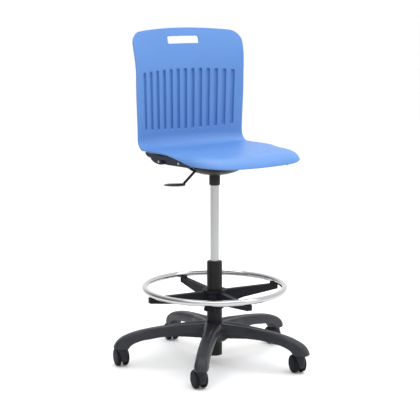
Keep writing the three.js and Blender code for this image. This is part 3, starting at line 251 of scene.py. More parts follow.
def loft(rings):
    count = len(rings[0])
    points = [p for ring in rings for p in ring]
    faces = []
    for r in range(len(rings) - 1):
        for i in range(count):
            j = (i + 1) % count
            faces.append((r * count + i, r * count + j, (r + 1) * count + j, (r + 1) * count + i))
    last = (len(rings) - 1) * count
    faces.append(tuple(range(count)))
    faces.append(tuple(last + i for i in reversed(range(count))))
    return faced_out(mesh_of(points, faces))


def prism(outline, start, end):
    """An outline in X and Y, raised from one height to another."""
    return loft([[(x, y, start) for x, y in outline], [(x, y, end) for x, y in outline]])


def block(corner_a, corner_b):
    (ax, ay, az), (bx, by, bz) = corner_a, corner_b
    return prism([(ax, ay), (bx, ay), (bx, by), (ax, by)], az, bz)


def moved(mesh, matrix):
    mesh.transform(matrix)
    return mesh


def turn_z(degrees):
    return Matrix.Rotation(math.radians(degrees), 4, "Z")


def turn_y(degrees):
    return Matrix.Rotation(math.radians(degrees), 4, "Y")


def turn_x(degrees):
    return Matrix.Rotation(math.radians(degrees), 4, "X")


def shift(x, y, z):
    return Matrix.Translation((x, y, z))


def evaluated(mesh, *modifiers):
    """The mesh with its modifiers applied; each one is (type, {setting: value})."""
    holder = bpy.data.objects.new("holder", mesh)
    bpy.context.scene.collection.objects.link(holder)
    for kind, settings in modifiers:
        modifier = holder.modifiers.new(kind, kind)
        for key, value in settings.items():
            setattr(modifier, key, value)
    graph = bpy.context.evaluated_depsgraph_get()
    result = bpy.data.meshes.new_from_object(holder.evaluated_get(graph))
    bpy.data.objects.remove(holder)
    return result


def bevel(width, segments=3, angle=32.0):
    return ("BEVEL", {"width": width, "segments": segments, "limit_method": "ANGLE",
                      "angle_limit": math.radians(angle), "harden_normals": False})


def carved(solids, cutters=(), rounding=0.0, segments=3, solver="EXACT"):
    """Joins solids, cuts the cutters away and rounds the edges."""
    helpers = []
    modifiers = []
    for mesh, operation in [(m, "UNION") for m in solids[1:]] + [(m, "DIFFERENCE") for m in cutters]:
        helper = bpy.data.objects.new("helper", mesh)
        bpy.context.scene.collection.objects.link(helper)
        helpers.append(helper)
        modifiers.append(("BOOLEAN", {"operation": operation, "object": helper, "solver": solver}))
    if rounding:
        modifiers.append(bevel(rounding, segments))
    result = evaluated(solids[0], *modifiers)
    for helper in helpers:
        bpy.data.objects.remove(helper)
    return result


def smooth_step(low_end, high_end, value):
    t = np.clip((np.asarray(value, float) - low_end) / (high_end - low_end), 0, 1)
    return t * t * (3 - 2 * t)


def curve_through(pairs):
    """Smooth function through (place, value) pairs, level outside them."""
    places = np.array([p for p, _ in pairs], float)
    values = np.array([v for _, v in pairs], float)
    before = np.maximum(np.arange(len(pairs)) - 1, 0)
    after = np.minimum(np.arange(len(pairs)) + 1, len(pairs) - 1)
    slopes = (values[after] - values[before]) / (places[after] - places[before])

    def value_at(place):
        place = min(max(place, places[0]), places[-1])
        i = int(np.clip(np.searchsorted(places, place, side="right") - 1, 0, len(pairs) - 2))
        span = places[i + 1] - places[i]
        t = (place - places[i]) / span
        flat = values[i] * (2 * t**3 - 3 * t**2 + 1) + values[i + 1] * (3 * t**2 - 2 * t**3)
        lean = slopes[i] * (t**3 - 2 * t**2 + t) + slopes[i + 1] * (t**3 - t**2)
        return float(flat + lean * span)

    return value_at


# ---------------------------------------------------------------- moulded shell

SEAT_Z = 705.0
SHELL_THICK = 5.5
BACK_Y = 159.5
BACK_HEIGHT = 391.0
BACK_HALF_WIDTH = 216.0
BACK_FLARE = 4.0
BACK_WAIST = 5.0
BACK_SAG = 37.0
BACK_TOP_LEAN = 24.0
BACK_LEAN_START = 250.0
TOP_ARCH = 13.0
TOP_CORNER = 40.0
BEND_RADIUS = 44.0
SEAT_FRONT_Y = -246.0
SEAT_HALF_WIDTH = 214.0
SEAT_CORNER = 112.0
SEAT_SIDE_RISE = 10.0
SEAT_CROWN = 3.0
LIP_DROP = 38.0
LIP_START_Y = -10.0
LIP_END_Y = -170.0
LIP_REACH = 50.0
FLUTE_COUNT = 13
FLUTE_PITCH = 29.3
FLUTE_HALF_WIDTH = 6.8
FLUTE_DEPTH = 7.5
FLUTE_RIB_HALF_WIDTH = 9.3
FLUTE_RIB_PROUD = 6.0
FLUTE_TOP_Z = 963.0
FLUTE_BOTTOM_Z = 762.0
FLUTE_END_SHORTER = 8.0
FLUTE_FAN = 0.00015
SLOT_HALF_WIDTH = 64.0
SLOT_HALF_HEIGHT = 14.0
SLOT_Z = 1057.0
SLOT_CORNER = 7.0
RIM_ROUND = 2.0


def back_y(z):
    lean = np.maximum(0, (z - SEAT_Z - BACK_LEAN_START) / (BACK_HEIGHT - BACK_LEAN_START))
    return BACK_Y + BACK_TOP_LEAN * lean**1.7


def back_sag(x):
    return BACK_SAG * (x / BACK_HALF_WIDTH) ** 2


def back_half_width(z):
    """Half width of the back inside its rounded rim."""
    height = z - SEAT_Z
    waist = BACK_WAIST * (1 - smooth_step(BEND_RADIUS, BACK_HEIGHT * 0.55, height))
    flare = BACK_FLARE * smooth_step(BACK_HEIGHT * 0.6, BACK_HEIGHT * 0.86, height)
    corner = TOP_CORNER - RIM_ROUND
    full = BACK_HALF_WIDTH - waist + flare - RIM_ROUND
    into = np.maximum(0, height - (BACK_HEIGHT - TOP_CORNER)) / corner
    return full - corner + corner * np.sqrt(np.maximum(0, 1 - into**2))


def back_point(x, z):
    near_top = smooth_step(BACK_HEIGHT * 0.7, BACK_HEIGHT, z - SEAT_Z)
    height = z - TOP_ARCH * near_top * (x / BACK_HALF_WIDTH) ** 2
    return np.stack([x, back_y(z) - back_sag(x), height], -1)


def seat_inset(x, y):
    side = np.abs(x) - (SEAT_HALF_WIDTH - SEAT_CORNER)
    front = SEAT_FRONT_Y + SEAT_CORNER - y
    corner = SEAT_CORNER - np.hypot(np.maximum(side, 0), np.maximum(front, 0))
    edge = np.minimum(SEAT_CORNER - side, SEAT_CORNER - front)
    return np.where((side > 0) & (front > 0), corner, edge)


def seat_height(x, y):
    rise = SEAT_SIDE_RISE * (x / SEAT_HALF_WIDTH) ** 2
    crown = SEAT_CROWN * np.sin(math.pi * smooth_step(0, 1, -y / -SEAT_FRONT_Y))
    towards_front = 1 - smooth_step(LIP_END_Y, LIP_START_Y, y)
    lip = np.maximum(0, 1 - np.maximum(0, seat_inset(x, y)) / LIP_REACH)
    roll = 1 - np.sqrt(np.maximum(0, 1 - lip**2))
    return SEAT_Z + rise + crown - LIP_DROP * towards_front * roll


def seat_half_width(y):
    corner = SEAT_CORNER - RIM_ROUND
    into = np.clip((SEAT_FRONT_Y + SEAT_CORNER - y) / corner, 0, 1)
    power = 2.0
    return SEAT_HALF_WIDTH - SEAT_CORNER + corner * (1 - into**power) ** (1 / power)


def shell_columns():
    """Column places across the back, close together at each flute's walls."""
    offsets = [0, 2.4, 4.4, 5.4, 5.9, 6.3, 6.7, 7.1, 7.6, 8.3, 8.9, 9.5, 10.1]
    columns = set()
    for i in range(FLUTE_COUNT):
        centre = (i - (FLUTE_COUNT - 1) / 2) * FLUTE_PITCH
        for offset in offsets:
            columns.update([round(centre + offset, 3), round(centre - offset, 3)])
        if i + 1 < FLUTE_COUNT:
            columns.add(round(centre + FLUTE_PITCH / 2, 3))
    full = BACK_HALF_WIDTH - RIM_ROUND
    for place in [189, 195.5, 201, 205.5, 209, 211.8, full]:
        columns.update([-place, place])
    return np.array(sorted(columns)) / full


def back_rows():
    """Heights of the back's rows, close together at the flutes' ends and at the handle opening."""
    top = SEAT_Z + BACK_HEIGHT - RIM_ROUND
    corner = TOP_CORNER - RIM_ROUND
    rows = [top - corner * (1 - math.cos(math.radians(step))) for step in (0, 5, 10, 16, 23, 31, 40)]
    hole_top = SLOT_Z + SLOT_HALF_HEIGHT
    hole_low = SLOT_Z - SLOT_HALF_HEIGHT
    rows += [1083, 1078.5, 1075, 1073, hole_top]
    rows += [hole_top - d for d in (1.4, 2.9, 4.6, 7.0, 10.5)] + [SLOT_Z]
    rows += [hole_low + d for d in (10.5, 7.0, 4.6, 2.9, 1.4)] + [hole_low]
    rows += [1041, 1038, 1033, 1024, 1012, 998, 984, 974, 970]
    rows += list(np.arange(967.6, 946.5, -0.8)) + [935, 915, 890, 862.5, 835, 810, 790]
    rows += list(np.arange(778.6, 757.0, -0.8)) + [755, 752]
    return np.array(rows), hole_top, hole_low


def flute_reach(u, z, half_width, lengthen):
    """Signed distance, in millimetres, outside the nearest flute's outline."""
    place = np.clip(np.round(u / FLUTE_PITCH), -(FLUTE_COUNT // 2), FLUTE_COUNT // 2)
    shorter = FLUTE_END_SHORTER * (2 * place / (FLUTE_COUNT - 1)) ** 2
    half_length = (FLUTE_TOP_Z - FLUTE_BOTTOM_Z) / 2 - shorter + lengthen
    middle = (FLUTE_TOP_Z + FLUTE_BOTTOM_Z) / 2
    beyond = np.maximum(0, np.abs(z - middle) - (half_length - half_width))
    return np.hypot(u - place * FLUTE_PITCH, beyond) - half_width


def rounded_hole(u, z, rows, columns, hole_top, hole_low):
    """Moves the corner vertices of the handle opening onto round corners."""
    r = SLOT_CORNER
    for iz, sign_z in ((hole_top, 1), (hole_low, -1)):
        row = int(np.argmin(np.abs(rows - iz)))
        for sign_x in (-1, 1):
            column = int(np.argmin(np.abs(columns - sign_x * SLOT_HALF_WIDTH)))
            centre = (sign_x * (SLOT_HALF_WIDTH - r), iz - sign_z * r)
            for k in range(len(rows)):
                run = sign_z * (iz - rows[k])
                if 0 <= run < r:
                    angle = math.pi / 4 * (1 - run / r)
                    u[k, column] = centre[0] + sign_x * r * math.cos(angle)
                    z[k, column] = centre[1] + sign_z * r * math.sin(angle)
            for k in range(len(columns)):
                run = sign_x * (sign_x * SLOT_HALF_WIDTH - columns[k])
                if 0 < run < r:
                    angle = math.pi / 4 * (1 + run / r)
                    u[row, k] = centre[0] + sign_x * r * math.cos(angle)
                    z[row, k] = centre[1] + sign_z * r * math.sin(angle)


def shell_surface():
    """Grid of points on the upper surface, with groove and rib depths, and the handle opening's cells."""
    shares = shell_columns()
    full = BACK_HALF_WIDTH - RIM_ROUND
    places = shares * full
    rows, hole_top, hole_low = back_rows()
    middle = (FLUTE_TOP_Z + FLUTE_BOTTOM_Z) / 2
    u = np.repeat(places[None, :], len(rows), 0)
    z = np.repeat(rows[:, None], len(places), 1)
    rounded_hole(u, z, rows, places, hole_top, hole_low)
    follow = smooth_step(750, 758, z) * (1 - smooth_step(975, 1035, z))
    fanned = u * (1 + FLUTE_FAN * (z - middle))
    edge = 1 - smooth_step(0.88, 1.0, np.abs(u) / full)
    spread = u / full * back_half_width(z)
    x = spread + (fanned - spread) * follow * edge
    holed = (np.abs(u) < 120) & (np.abs(z - SLOT_Z) < 40)
    x = np.where(holed, u, x)
    fade = smooth_step(80, 120, np.abs(u)) + smooth_step(18, 38, np.abs(z - SLOT_Z))
    x = np.where(holed, u + (spread - u) * np.clip(fade, 0, 1), x)
    back = back_point(x, z)
    groove = FLUTE_DEPTH * (1 - smooth_step(-1.1, 0.45, flute_reach(u, z, FLUTE_HALF_WIDTH, 0)))
    rib = FLUTE_RIB_PROUD * (1 - smooth_step(-1.0, 0.9, flute_reach(u, z, FLUTE_RIB_HALF_WIDTH, 2.5)))
    bend_rows = []
    start_x = places / full * back_half_width(np.array([SEAT_Z + BEND_RADIUS]))
    start = back_point(start_x, np.full_like(start_x, SEAT_Z + BEND_RADIUS))
    flat_start = BACK_Y - BEND_RADIUS
    end_x = shares * (SEAT_HALF_WIDTH - RIM_ROUND)
    end_y = flat_start - back_sag(end_x) * 0.55
    end_z = seat_height(end_x, end_y)
    for turn in np.linspace(0, 1, 15):
        angle = turn * math.pi / 2
        bx = start[:, 0] + (end_x - start[:, 0]) * turn
        by = start[:, 1] + (end_y - start[:, 1]) * (1 - math.cos(angle))
        bz = end_z + (start[:, 2] - end_z) * (1 - math.sin(angle))
        bend_rows.append(np.stack([bx, by, bz], -1))
    seat_rows = []
    flat_end = SEAT_FRONT_Y + SEAT_CORNER
    corner = SEAT_CORNER - RIM_ROUND
    row_shares = (0.06, 0.14, 0.24, 0.36, 0.48, 0.6, 0.7, 0.79, 0.87, 0.94)
    corner_angles = [*range(0, 72, 4), 74, 77, 80, 83, 86, 88, 90]
    ys = [flat_start + (flat_end - flat_start) * s for s in row_shares]
    ys += [flat_end - corner * math.sin(math.radians(a)) for a in corner_angles]
    for y in ys:
        sx = shares * seat_half_width(np.array([y]))
        near_back = 1 - float(smooth_step(0, 1, (flat_start - y) / flat_start))
        place = y - back_sag(sx) * 0.55 * max(0.0, near_back)
        seat_rows.append(np.stack([sx, place, seat_height(sx, place)], -1))
    grid = np.concatenate([back, np.array(bend_rows), np.array(seat_rows)])
    extra = len(grid) - len(rows)
    groove = np.concatenate([groove, np.zeros((extra, len(places)))])
    rib = np.concatenate([rib, np.zeros((extra, len(places)))])
    row_span = (int(np.argmin(np.abs(rows - hole_top))), int(np.argmin(np.abs(rows - hole_low))))
    slot_left = int(np.argmin(np.abs(places + SLOT_HALF_WIDTH)))
    slot_right = int(np.argmin(np.abs(places - SLOT_HALF_WIDTH)))
    column_span = (slot_left, slot_right)
    return grid, groove, rib, row_span, column_span


def grid_normals(grid):
    down = np.empty_like(grid)
    across = np.empty_like(grid)
    down[1:-1] = grid[2:] - grid[:-2]
    down[0] = grid[1] - grid[0]
    down[-1] = grid[-1] - grid[-2]
    across[:, 1:-1] = grid[:, 2:] - grid[:, :-2]
    across[:, 0] = grid[:, 1] - grid[:, 0]
    across[:, -1] = grid[:, -1] - grid[:, -2]
    normal = np.cross(down, across)
    return normal / np.maximum(np.linalg.norm(normal, axis=-1, keepdims=True), 1e-9)


def rim_strip(loop_front, loop_back, normals, centre_out, thickness, points, faces):
    """Rounded edge between the front and the back along a closed loop of vertex numbers."""
    front = np.array([points[i] for i in loop_front])
    ahead = np.roll(front, -1, 0) - np.roll(front, 1, 0)
    ahead /= np.maximum(np.linalg.norm(ahead, axis=1, keepdims=True), 1e-9)
    out = np.cross(ahead, normals) * centre_out
    out /= np.maximum(np.linalg.norm(out, axis=1, keepdims=True), 1e-9)
    steps = [math.radians(a) for a in (30, 60, 90)]
    profile = [(RIM_ROUND * math.sin(a), RIM_ROUND * (1 - math.cos(a))) for a in steps]
    profile += [(o, thickness - d) for o, d in reversed(profile)]
    loops = [list(loop_front)]
    for reach, depth in profile:
        start = len(points)
        points.extend(front + out * reach - normals * depth)
        loops.append(list(range(start, start + len(loop_front))))
    loops.append(list(loop_back))
    for a, b in zip(loops, loops[1:]):
        for i in range(len(a)):
            j = (i + 1) % len(a)
            faces.append((a[i], b[i], b[j], a[j]))


def shell_mesh():
    grid, groove, rib, row_span, column_span = shell_surface()
    normal = grid_normals(grid)
    height, width = groove.shape
    front = grid - normal * groove[..., None]
    back = grid - normal * (SHELL_THICK + rib)[..., None]
    points = list(front.reshape(-1, 3)) + list(back.reshape(-1, 3))
    flat_normals = normal.reshape(-1, 3)
    half = height * width
    faces = []
    for r in range(height - 1):
        for c in range(width - 1):
            inside = row_span[0] <= r < row_span[1] and column_span[0] <= c < column_span[1]
            if inside:
                continue
            a, b, d, e = r * width + c, (r + 1) * width + c, (r + 1) * width + c + 1, r * width + c + 1
            faces.append((a, b, d, e))
            faces.append((half + a, half + e, half + d, half + b))
    outer = [c for c in range(width)]
    outer += [r * width + width - 1 for r in range(1, height)]
    outer += [(height - 1) * width + c for c in range(width - 2, -1, -1)]
    outer += [r * width for r in range(height - 2, 0, -1)]
    (r0, r1), (c0, c1) = row_span, column_span
    inner = [r0 * width + c for c in range(c0, c1)]
    inner += [r * width + c1 for r in range(r0, r1)]
    inner += [r1 * width + c for c in range(c1, c0, -1)]
    inner += [r * width + c0 for r in range(r1, r0, -1)]
    for loop, way in ((outer, -1), (inner, 1)):
        normals = flat_normals[loop]
        rim_strip(loop, [half + i for i in loop], normals, way, SHELL_THICK, points, faces)
    used = sorted({i for face in faces for i in face})
    renumber = {old: new for new, old in enumerate(used)}
    mesh = mesh_of([points[i] for i in used], [[renumber[i] for i in face] for face in faces])
    work = bmesh.new()
    work.from_mesh(mesh)
    bmesh.ops.recalc_face_normals(work, faces=work.faces)
    work.to_mesh(mesh)
    work.free()
    return mesh


def build_shell():
    piece("moulded_shell", shell_mesh(), "seat", "blue_plastic", ["seat_shell"], smooth_deg=0)


# ---------------------------------------------------------------- seat frame and mechanism

FRAME_REAR_RISE = 3.0
FRAME_RISE_LENGTH = 26.0
NOTCH_RECESS = 14.0
NOTCH_BOSS_THICK = 22.0
FRAME_WALL = 5.0
FRAME_TOP_Z = high("seat_frame").z - FRAME_REAR_RISE
FRAME_LOW_Z = low("seat_frame").z + 1.0
FRAME_HALF_WIDTH = high("seat_frame").x
FRAME_FRONT_Y = low("seat_frame").y
FRAME_BACK_Y = high("seat_frame").y
FRAME_DEPTH = FRAME_TOP_Z - FRAME_LOW_Z
NOTCH_BACK_Y = 46.0
NOTCH_WIDTH = 30.0
NOTCH_DEPTH = 15.0


def bent(start, control, end, steps=10):
    """Points on a quadratic curve, without its first point."""
    points = []
    for i in range(1, steps + 1):
        t = i / steps
        corners = zip(start, control, end)
        points.append(tuple((1 - t) ** 2 * s + 2 * t * (1 - t) * c + t * t * e for s, c, e in corners))
    return points


def build_frame():
    top, bottom = FRAME_TOP_Z, FRAME_LOW_Z
    lobe = (FRAME_BACK_Y - 30, top - FRAME_DEPTH * 0.42)
    outline = [(FRAME_FRONT_Y, top), (FRAME_BACK_Y - FRAME_RISE_LENGTH, top)]
    outline += bent(outline[-1], (FRAME_BACK_Y - 8, top), (FRAME_BACK_Y, top + FRAME_REAR_RISE))
    outline += bent(outline[-1], (FRAME_BACK_Y - 4, lobe[1] + 1), lobe)
    outline += bent(lobe, (lobe[0] - 8, bottom + 2), (NOTCH_BACK_Y + 12, bottom - 1))
    outline += [(NOTCH_BACK_Y, bottom - 1), (NOTCH_BACK_Y - NOTCH_WIDTH, bottom + 2)]
    outline += [(FRAME_FRONT_Y + 22, bottom + 4)]
    outline += bent(outline[-1], (FRAME_FRONT_Y + 2, bottom + 6), (FRAME_FRONT_Y, top))[:-1]
    stand_up = Matrix(((0, 0, 1, 0), (1, 0, 0, 0), (0, 1, 0, 0), (0, 0, 0, 1)))
    body = moved(prism(outline, -FRAME_HALF_WIDTH, FRAME_HALF_WIDTH), stand_up)
    inner = FRAME_HALF_WIDTH - FRAME_WALL
    boss_front = NOTCH_BACK_Y - NOTCH_WIDTH - FRAME_WALL
    boss_back = NOTCH_BACK_Y + FRAME_WALL
    boss_inner = FRAME_HALF_WIDTH - NOTCH_BOSS_THICK
    hollow = prism([(-inner, FRAME_FRONT_Y + 14), (inner, FRAME_FRONT_Y + 14), (inner, boss_front),
                    (boss_inner, boss_front), (boss_inner, boss_back), (inner, boss_back),
                    (inner, FRAME_BACK_Y - 28), (-inner, FRAME_BACK_Y - 28), (-inner, boss_back),
                    (-boss_inner, boss_back), (-boss_inner, boss_front),
                    (-inner, boss_front)], bottom - 20, top - 5.5)
    notches = []
    for side in (-1, 1):
        near, far = sorted((side * (FRAME_HALF_WIDTH - NOTCH_RECESS), side * FRAME_HALF_WIDTH * 2))
        start = (near, NOTCH_BACK_Y - NOTCH_WIDTH, bottom - 20)
        notches.append(block(start, (far, NOTCH_BACK_Y, bottom + NOTCH_DEPTH)))
    frame_mesh = carved([faced_out(body)], [hollow, *notches], 1.1, 3)
    piece("underseat_frame", frame_mesh, "seat", "navy_plastic", ["seat_frame"])
    for label, side in (("right", -1), ("left", 1)):
        for i in (1, 2):
            node = f"frame_pin_{label}_{i}"
            centre = (low(node) + high(node)) / 2
            outer = max(abs(low(node).x), abs(high(node).x))
            inner_end = min(abs(low(node).x), abs(high(node).x))
            head = lathe([(0, inner_end), (2, inner_end), (2, FRAME_HALF_WIDTH + 0.3),
                          (4, FRAME_HALF_WIDTH + 0.3), (4, outer - 0.6), (3.2, outer), (0, outer)], 32)
            moved(head, shift(0, centre.y, centre.z) @ turn_y(90 * side))
            piece(f"side_pin_{label}_{i}", head, "seat", "zinc_steel", [node])


def build_mechanism():
    rim = high("mechanism_cover").x
    top = high("mechanism_cover").z
    bottom = low("mechanism_cover").z
    neck = high("cone_socket").x + 0.35
    outside = [(neck, bottom), (neck + 5, bottom + 0.2), (35.3, bottom + 2), (50, bottom + 4.6),
               (rim * 0.62, bottom + 9), (rim * 0.75, bottom + 13.8), (rim * 0.86, bottom + 21),
               (rim * 0.95, bottom + 29.5), (rim, bottom + 40), (rim, top)]
    inside = [(r - 2.5 if r > rim * 0.7 else r, z if z == top else z + 2.5) for r, z in reversed(outside)]
    cover = lathe(outside + inside, 72)
    slot = block((LEVER_BEND_X, -9.2, bottom - 5), (-50, 9.2, bottom + 52))
    piece("mechanism_dish", carved([cover], [slot], 0.6, 2), "seat", "black_paint", ["mechanism_cover"])
    radius = high("cone_socket").x
    s_low, s_top = low("cone_socket").z, high("cone_socket").z
    bore = high("gas_cylinder").x + 0.3
    socket = lathe([(bore, s_low), (radius - 2.4, s_low), (radius - 0.8, s_low + 0.8),
                    (radius, s_low + 2.4), (radius, s_low + 20), (radius, s_top), (bore, s_top)], 64)
    window = block((-40, -8.4, high("gas_cylinder").z + 1), (0, 8.4, s_top - 7))
    piece("taper_socket", carved([socket], [window]), "seat", "black_paint", ["cone_socket"])


PIVOT = (low("lever_pin") + high("lever_pin")) / 2
LEVER_BEND_X = -127.0
LEVER_BEND_Z = PIVOT.z - 66.0


def build_lever():
    start = Vector((PIVOT.x, 0, PIVOT.z))
    end = Vector((LEVER_BEND_X, 0, LEVER_BEND_Z))
    along = end - start
    shaft = rod(4.2, 0, along.length, 24)
    moved(shaft, shift(*start) @ Vector((0, 0, 1)).rotation_difference(along).to_matrix().to_4x4())
    eye = moved(rod(7, -5.5, 5.5, 40), shift(*start) @ turn_x(-90))
    finger = block((PIVOT.x, -2.5, PIVOT.z - 2.5), (3.5, 2.5, PIVOT.z + 2.5))
    hole = moved(rod(3.15, -11, 11, 32), shift(*start) @ turn_x(-90))
    piece("lever_shaft", carved([eye, finger, shaft], [hole], 0.5, 2), "lever", "black_paint", ["lever_rod"])
    stations = [(0, 0.42, 1), (0.05, 0.55, 1), (0.12, 0.7, 1), (0.25, 0.9, 1), (0.4, 1, 0.98),
                (0.55, 0.95, 0.93), (0.7, 0.84, 0.86), (0.8, 0.68, 0.74), (0.9, 0.46, 0.55),
                (0.96, 0.28, 0.38), (1, 0.1, 0.2)]
    rings = []
    for share, wide, thick in stations:
        x = LEVER_BEND_X + 6 - 80 * share
        w, t = 19 * wide, 5.5 * thick
        z = LEVER_BEND_Z + 5 * share
        ring = []
        for k in range(20):
            angle = 2 * math.pi * k / 20
            c, s = math.cos(angle), math.sin(angle)
            across = math.copysign(abs(c) ** 0.7, c)
            up = math.copysign(abs(s) ** 0.75, s)
            ring.append((x, w * across, z + t * up))
        rings.append(ring)
    paddle = evaluated(loft(rings), ("SUBSURF", {"levels": 1, "render_levels": 1}))
    piece("lever_handle", paddle, "lever", "gloss_black", ["lever_paddle"], smooth_deg=60)


# ---------------------------------------------------------------- column


def build_column():
    top, bottom = high("outer_tube").z, low("outer_tube").z
    r = high("outer_tube").x
    bore = high("gas_cylinder").x + 0.7
    tube = lathe([(9, bottom), (r - 2, bottom), (r - 0.6, bottom + 0.6), (r, bottom + 2),
                  (r, bottom + 40), (r, top - 4), (r - 0.35, top - 2.4), (r - 1.1, top - 1.1),
                  (r - 2.4, top - 0.3), (r - 4, top), (bore + 0.6, top), (bore, top - 0.6),
                  (bore, top - 3), (r - 2, top - 3), (r - 2, bottom + 4), (9, bottom + 4)], 96)
    piece("column_tube", tube, "root", "black_paint", ["outer_tube"])
    c_low, c_top = low("gas_cylinder").z, high("gas_cylinder").z
    radius = high("gas_cylinder").x
    cone = c_top - 62
    body = lathe([(radius - 2, c_low), (radius - 0.5, c_low), (radius, c_low + 0.5), (radius, cone),
                  (radius - 0.9, c_top), (3.8, c_top), (3.8, c_top - 17), (0, c_top - 17),
                  (0, cone - 8), (radius - 2, cone - 8)], 96)
    # the profile touches the axis twice, so the upper pocket and the lower bore are separate
    piece("lift_cylinder", body, "seat", "satin_steel", ["gas_cylinder"])


# ---------------------------------------------------------------- foot ring

RING_Z = (low("foot_ring").z + high("foot_ring").z) / 2
RING_RADIUS = 229.0
RING_BAR_RADIUS = 10.0
SPOKE_TURN = -9.4
SPOKE_TOP_Z = RING_Z - 10.3
KNOB_TURN = -146.0
KNOB_Z = RING_Z - 56.0
TUBE_RADIUS = high("outer_tube").x
HUB_WALL = 33.0


def spoke_blade(turn):
    rings = []
    for x, depth in ((TUBE_RADIUS + 4, 48), (TUBE_RADIUS + 40, 42), (106.2, 32.6), (180, 24.5), (236, 18)):
        rings.append([(x, -8.5, SPOKE_TOP_Z - depth), (x, 8.5, SPOKE_TOP_Z - depth), (x, 8.5, SPOKE_TOP_Z),
                      (x, -8.5, SPOKE_TOP_Z)])
    return moved(loft(rings), turn_z(turn))


def knob_frame():
    """From a body about +Z onto the clamp screw's axis, pointing out of the hub."""
    return turn_z(KNOB_TURN) @ shift(0, 0, KNOB_Z) @ turn_y(90)


def build_foot_ring():
    sides, around = 24, 144
    lowest, highest = low("foot_ring").z - RING_Z, high("foot_ring").z - RING_Z
    points = []
    for i in range(around):
        turn = 2 * math.pi * i / around
        for j in range(sides):
            angle = 2 * math.pi * j / sides
            reach = RING_RADIUS + RING_BAR_RADIUS * math.cos(angle)
            height = min(max(RING_BAR_RADIUS * math.sin(angle), lowest), highest)
            points.append((reach * math.cos(turn), reach * math.sin(turn), RING_Z + height))
    faces = []
    for i in range(around):
        for j in range(sides):
            i2, j2 = (i + 1) % around, (j + 1) % sides
            faces.append((i * sides + j, i2 * sides + j, i2 * sides + j2, i * sides + j2))
    ring = faced_out(mesh_of(points, faces))
    piece("chrome_ring", ring, "foot_ring", "chrome", ["foot_ring"], smooth_deg=0)

    top = SPOKE_TOP_Z + 4
    hub_low = top - 62
    hub = lathe([(TUBE_RADIUS - 3, hub_low), (HUB_WALL - 3, hub_low), (HUB_WALL, hub_low + 6),
                 (HUB_WALL, top - 12), (39, top - 7), (39, top), (TUBE_RADIUS - 3, top)], 72)
    blades = [spoke_blade(SPOKE_TURN + 90 * i) for i in range(4)]
    boss = moved(rod(8.8, TUBE_RADIUS + 2, HUB_WALL + 7, 40), knob_frame())
    bore = rod(TUBE_RADIUS + 0.35, hub_low - 30, top + 30, 96)
    screw_bore = moved(rod(4.3, 0, 78, 32), knob_frame())
    spider = carved([hub, *blades, boss], [bore, screw_bore], 0.9, 2, "MANIFOLD")
    piece("ring_spider", spider, "foot_ring", "dark_plastic", ["foot_ring_spider"])

    outer = RING_RADIUS - 4.5
    for i in range(4):
        saddle = block((outer - 11, -7, SPOKE_TOP_Z + 0.3), (outer, 7, SPOKE_TOP_Z + 7.8))
        cutter = lathe([(RING_RADIUS + 11.3 * math.cos(math.radians(a)),
                        RING_Z + 11.3 * math.sin(math.radians(a)))
                        for a in range(0, 360, 15)], 144)
        moved(saddle, turn_z(SPOKE_TURN + 90 * i))
        piece(f"spoke_saddle_{i + 1}", carved([saddle], [cutter], 0.5, 2, "MANIFOLD"), "foot_ring", "rubber",
              [f"ring_saddle_{i + 1}"])

    face = HUB_WALL + 11
    outline = []
    for i in range(90):
        angle = 2 * math.pi * i / 90
        lobe = math.cos(3 * (angle + math.pi / 2))
        reach = 20 * (1 - 0.26 * (1 - lobe) / 2 * 1.6)
        outline.append((reach * math.cos(angle), reach * math.sin(angle)))
    knob = moved(prism(outline, 0, 12), turn_z(90))
    knob = moved(knob, turn_x(180) @ turn_y(90))
    knob = moved(faced_out(knob), turn_z(KNOB_TURN) @ shift(face, 0, KNOB_Z))
    bore = moved(rod(4.3, 0, face + 7.2, 32), knob_frame())
    piece("clamp_handle", carved([knob], [bore], 2.2, 4), "clamp", "dark_plastic", ["clamp_knob"])
    screw = lathe([(0, TUBE_RADIUS + 0.4), (3.2, TUBE_RADIUS + 0.4), (4, TUBE_RADIUS + 1.4),
                   (4, face + 6.6), (0, face + 6.6)], 40)
    piece("clamp_stud", moved(screw, knob_frame()), "clamp", "zinc_steel", ["clamp_screw"])


# ---------------------------------------------------------------- base

ARM_TURN = 9.2
STEM_REACH = 304.6
ARM_HALF_WIDTH = 22.0
ARM_WEB_HALF_WIDTH = 14.0
ARM_TIP = STEM_REACH + 30.0
ROOT_FLARE = 12.0
ARM_END_Z = low("base_star").z
ARM_TOP = curve_through([(0, 80), (0.27, 79), (0.41, 76), (0.56, 71), (0.72, 64), (0.87, 54.5), (0.98, 43),
                         (1.04, 31.5), (1.08, 18), (1.1, 7)])
ARM_LOW = curve_through([(0, 24), (0.17, 27), (0.26, 30), (0.41, 34), (0.57, 34), (0.72, 30), (0.8, 26.5),
                         (0.88, 19), (0.93, 9), (0.95, 0), (1.1, 0)])
ARM_STEP = curve_through([(0, 46), (0.3, 47), (0.5, 41), (0.7, 31.5), (0.8, 27.5), (0.88, 20), (0.93, 10),
                          (0.95, 0.8), (1.1, 0.8)])


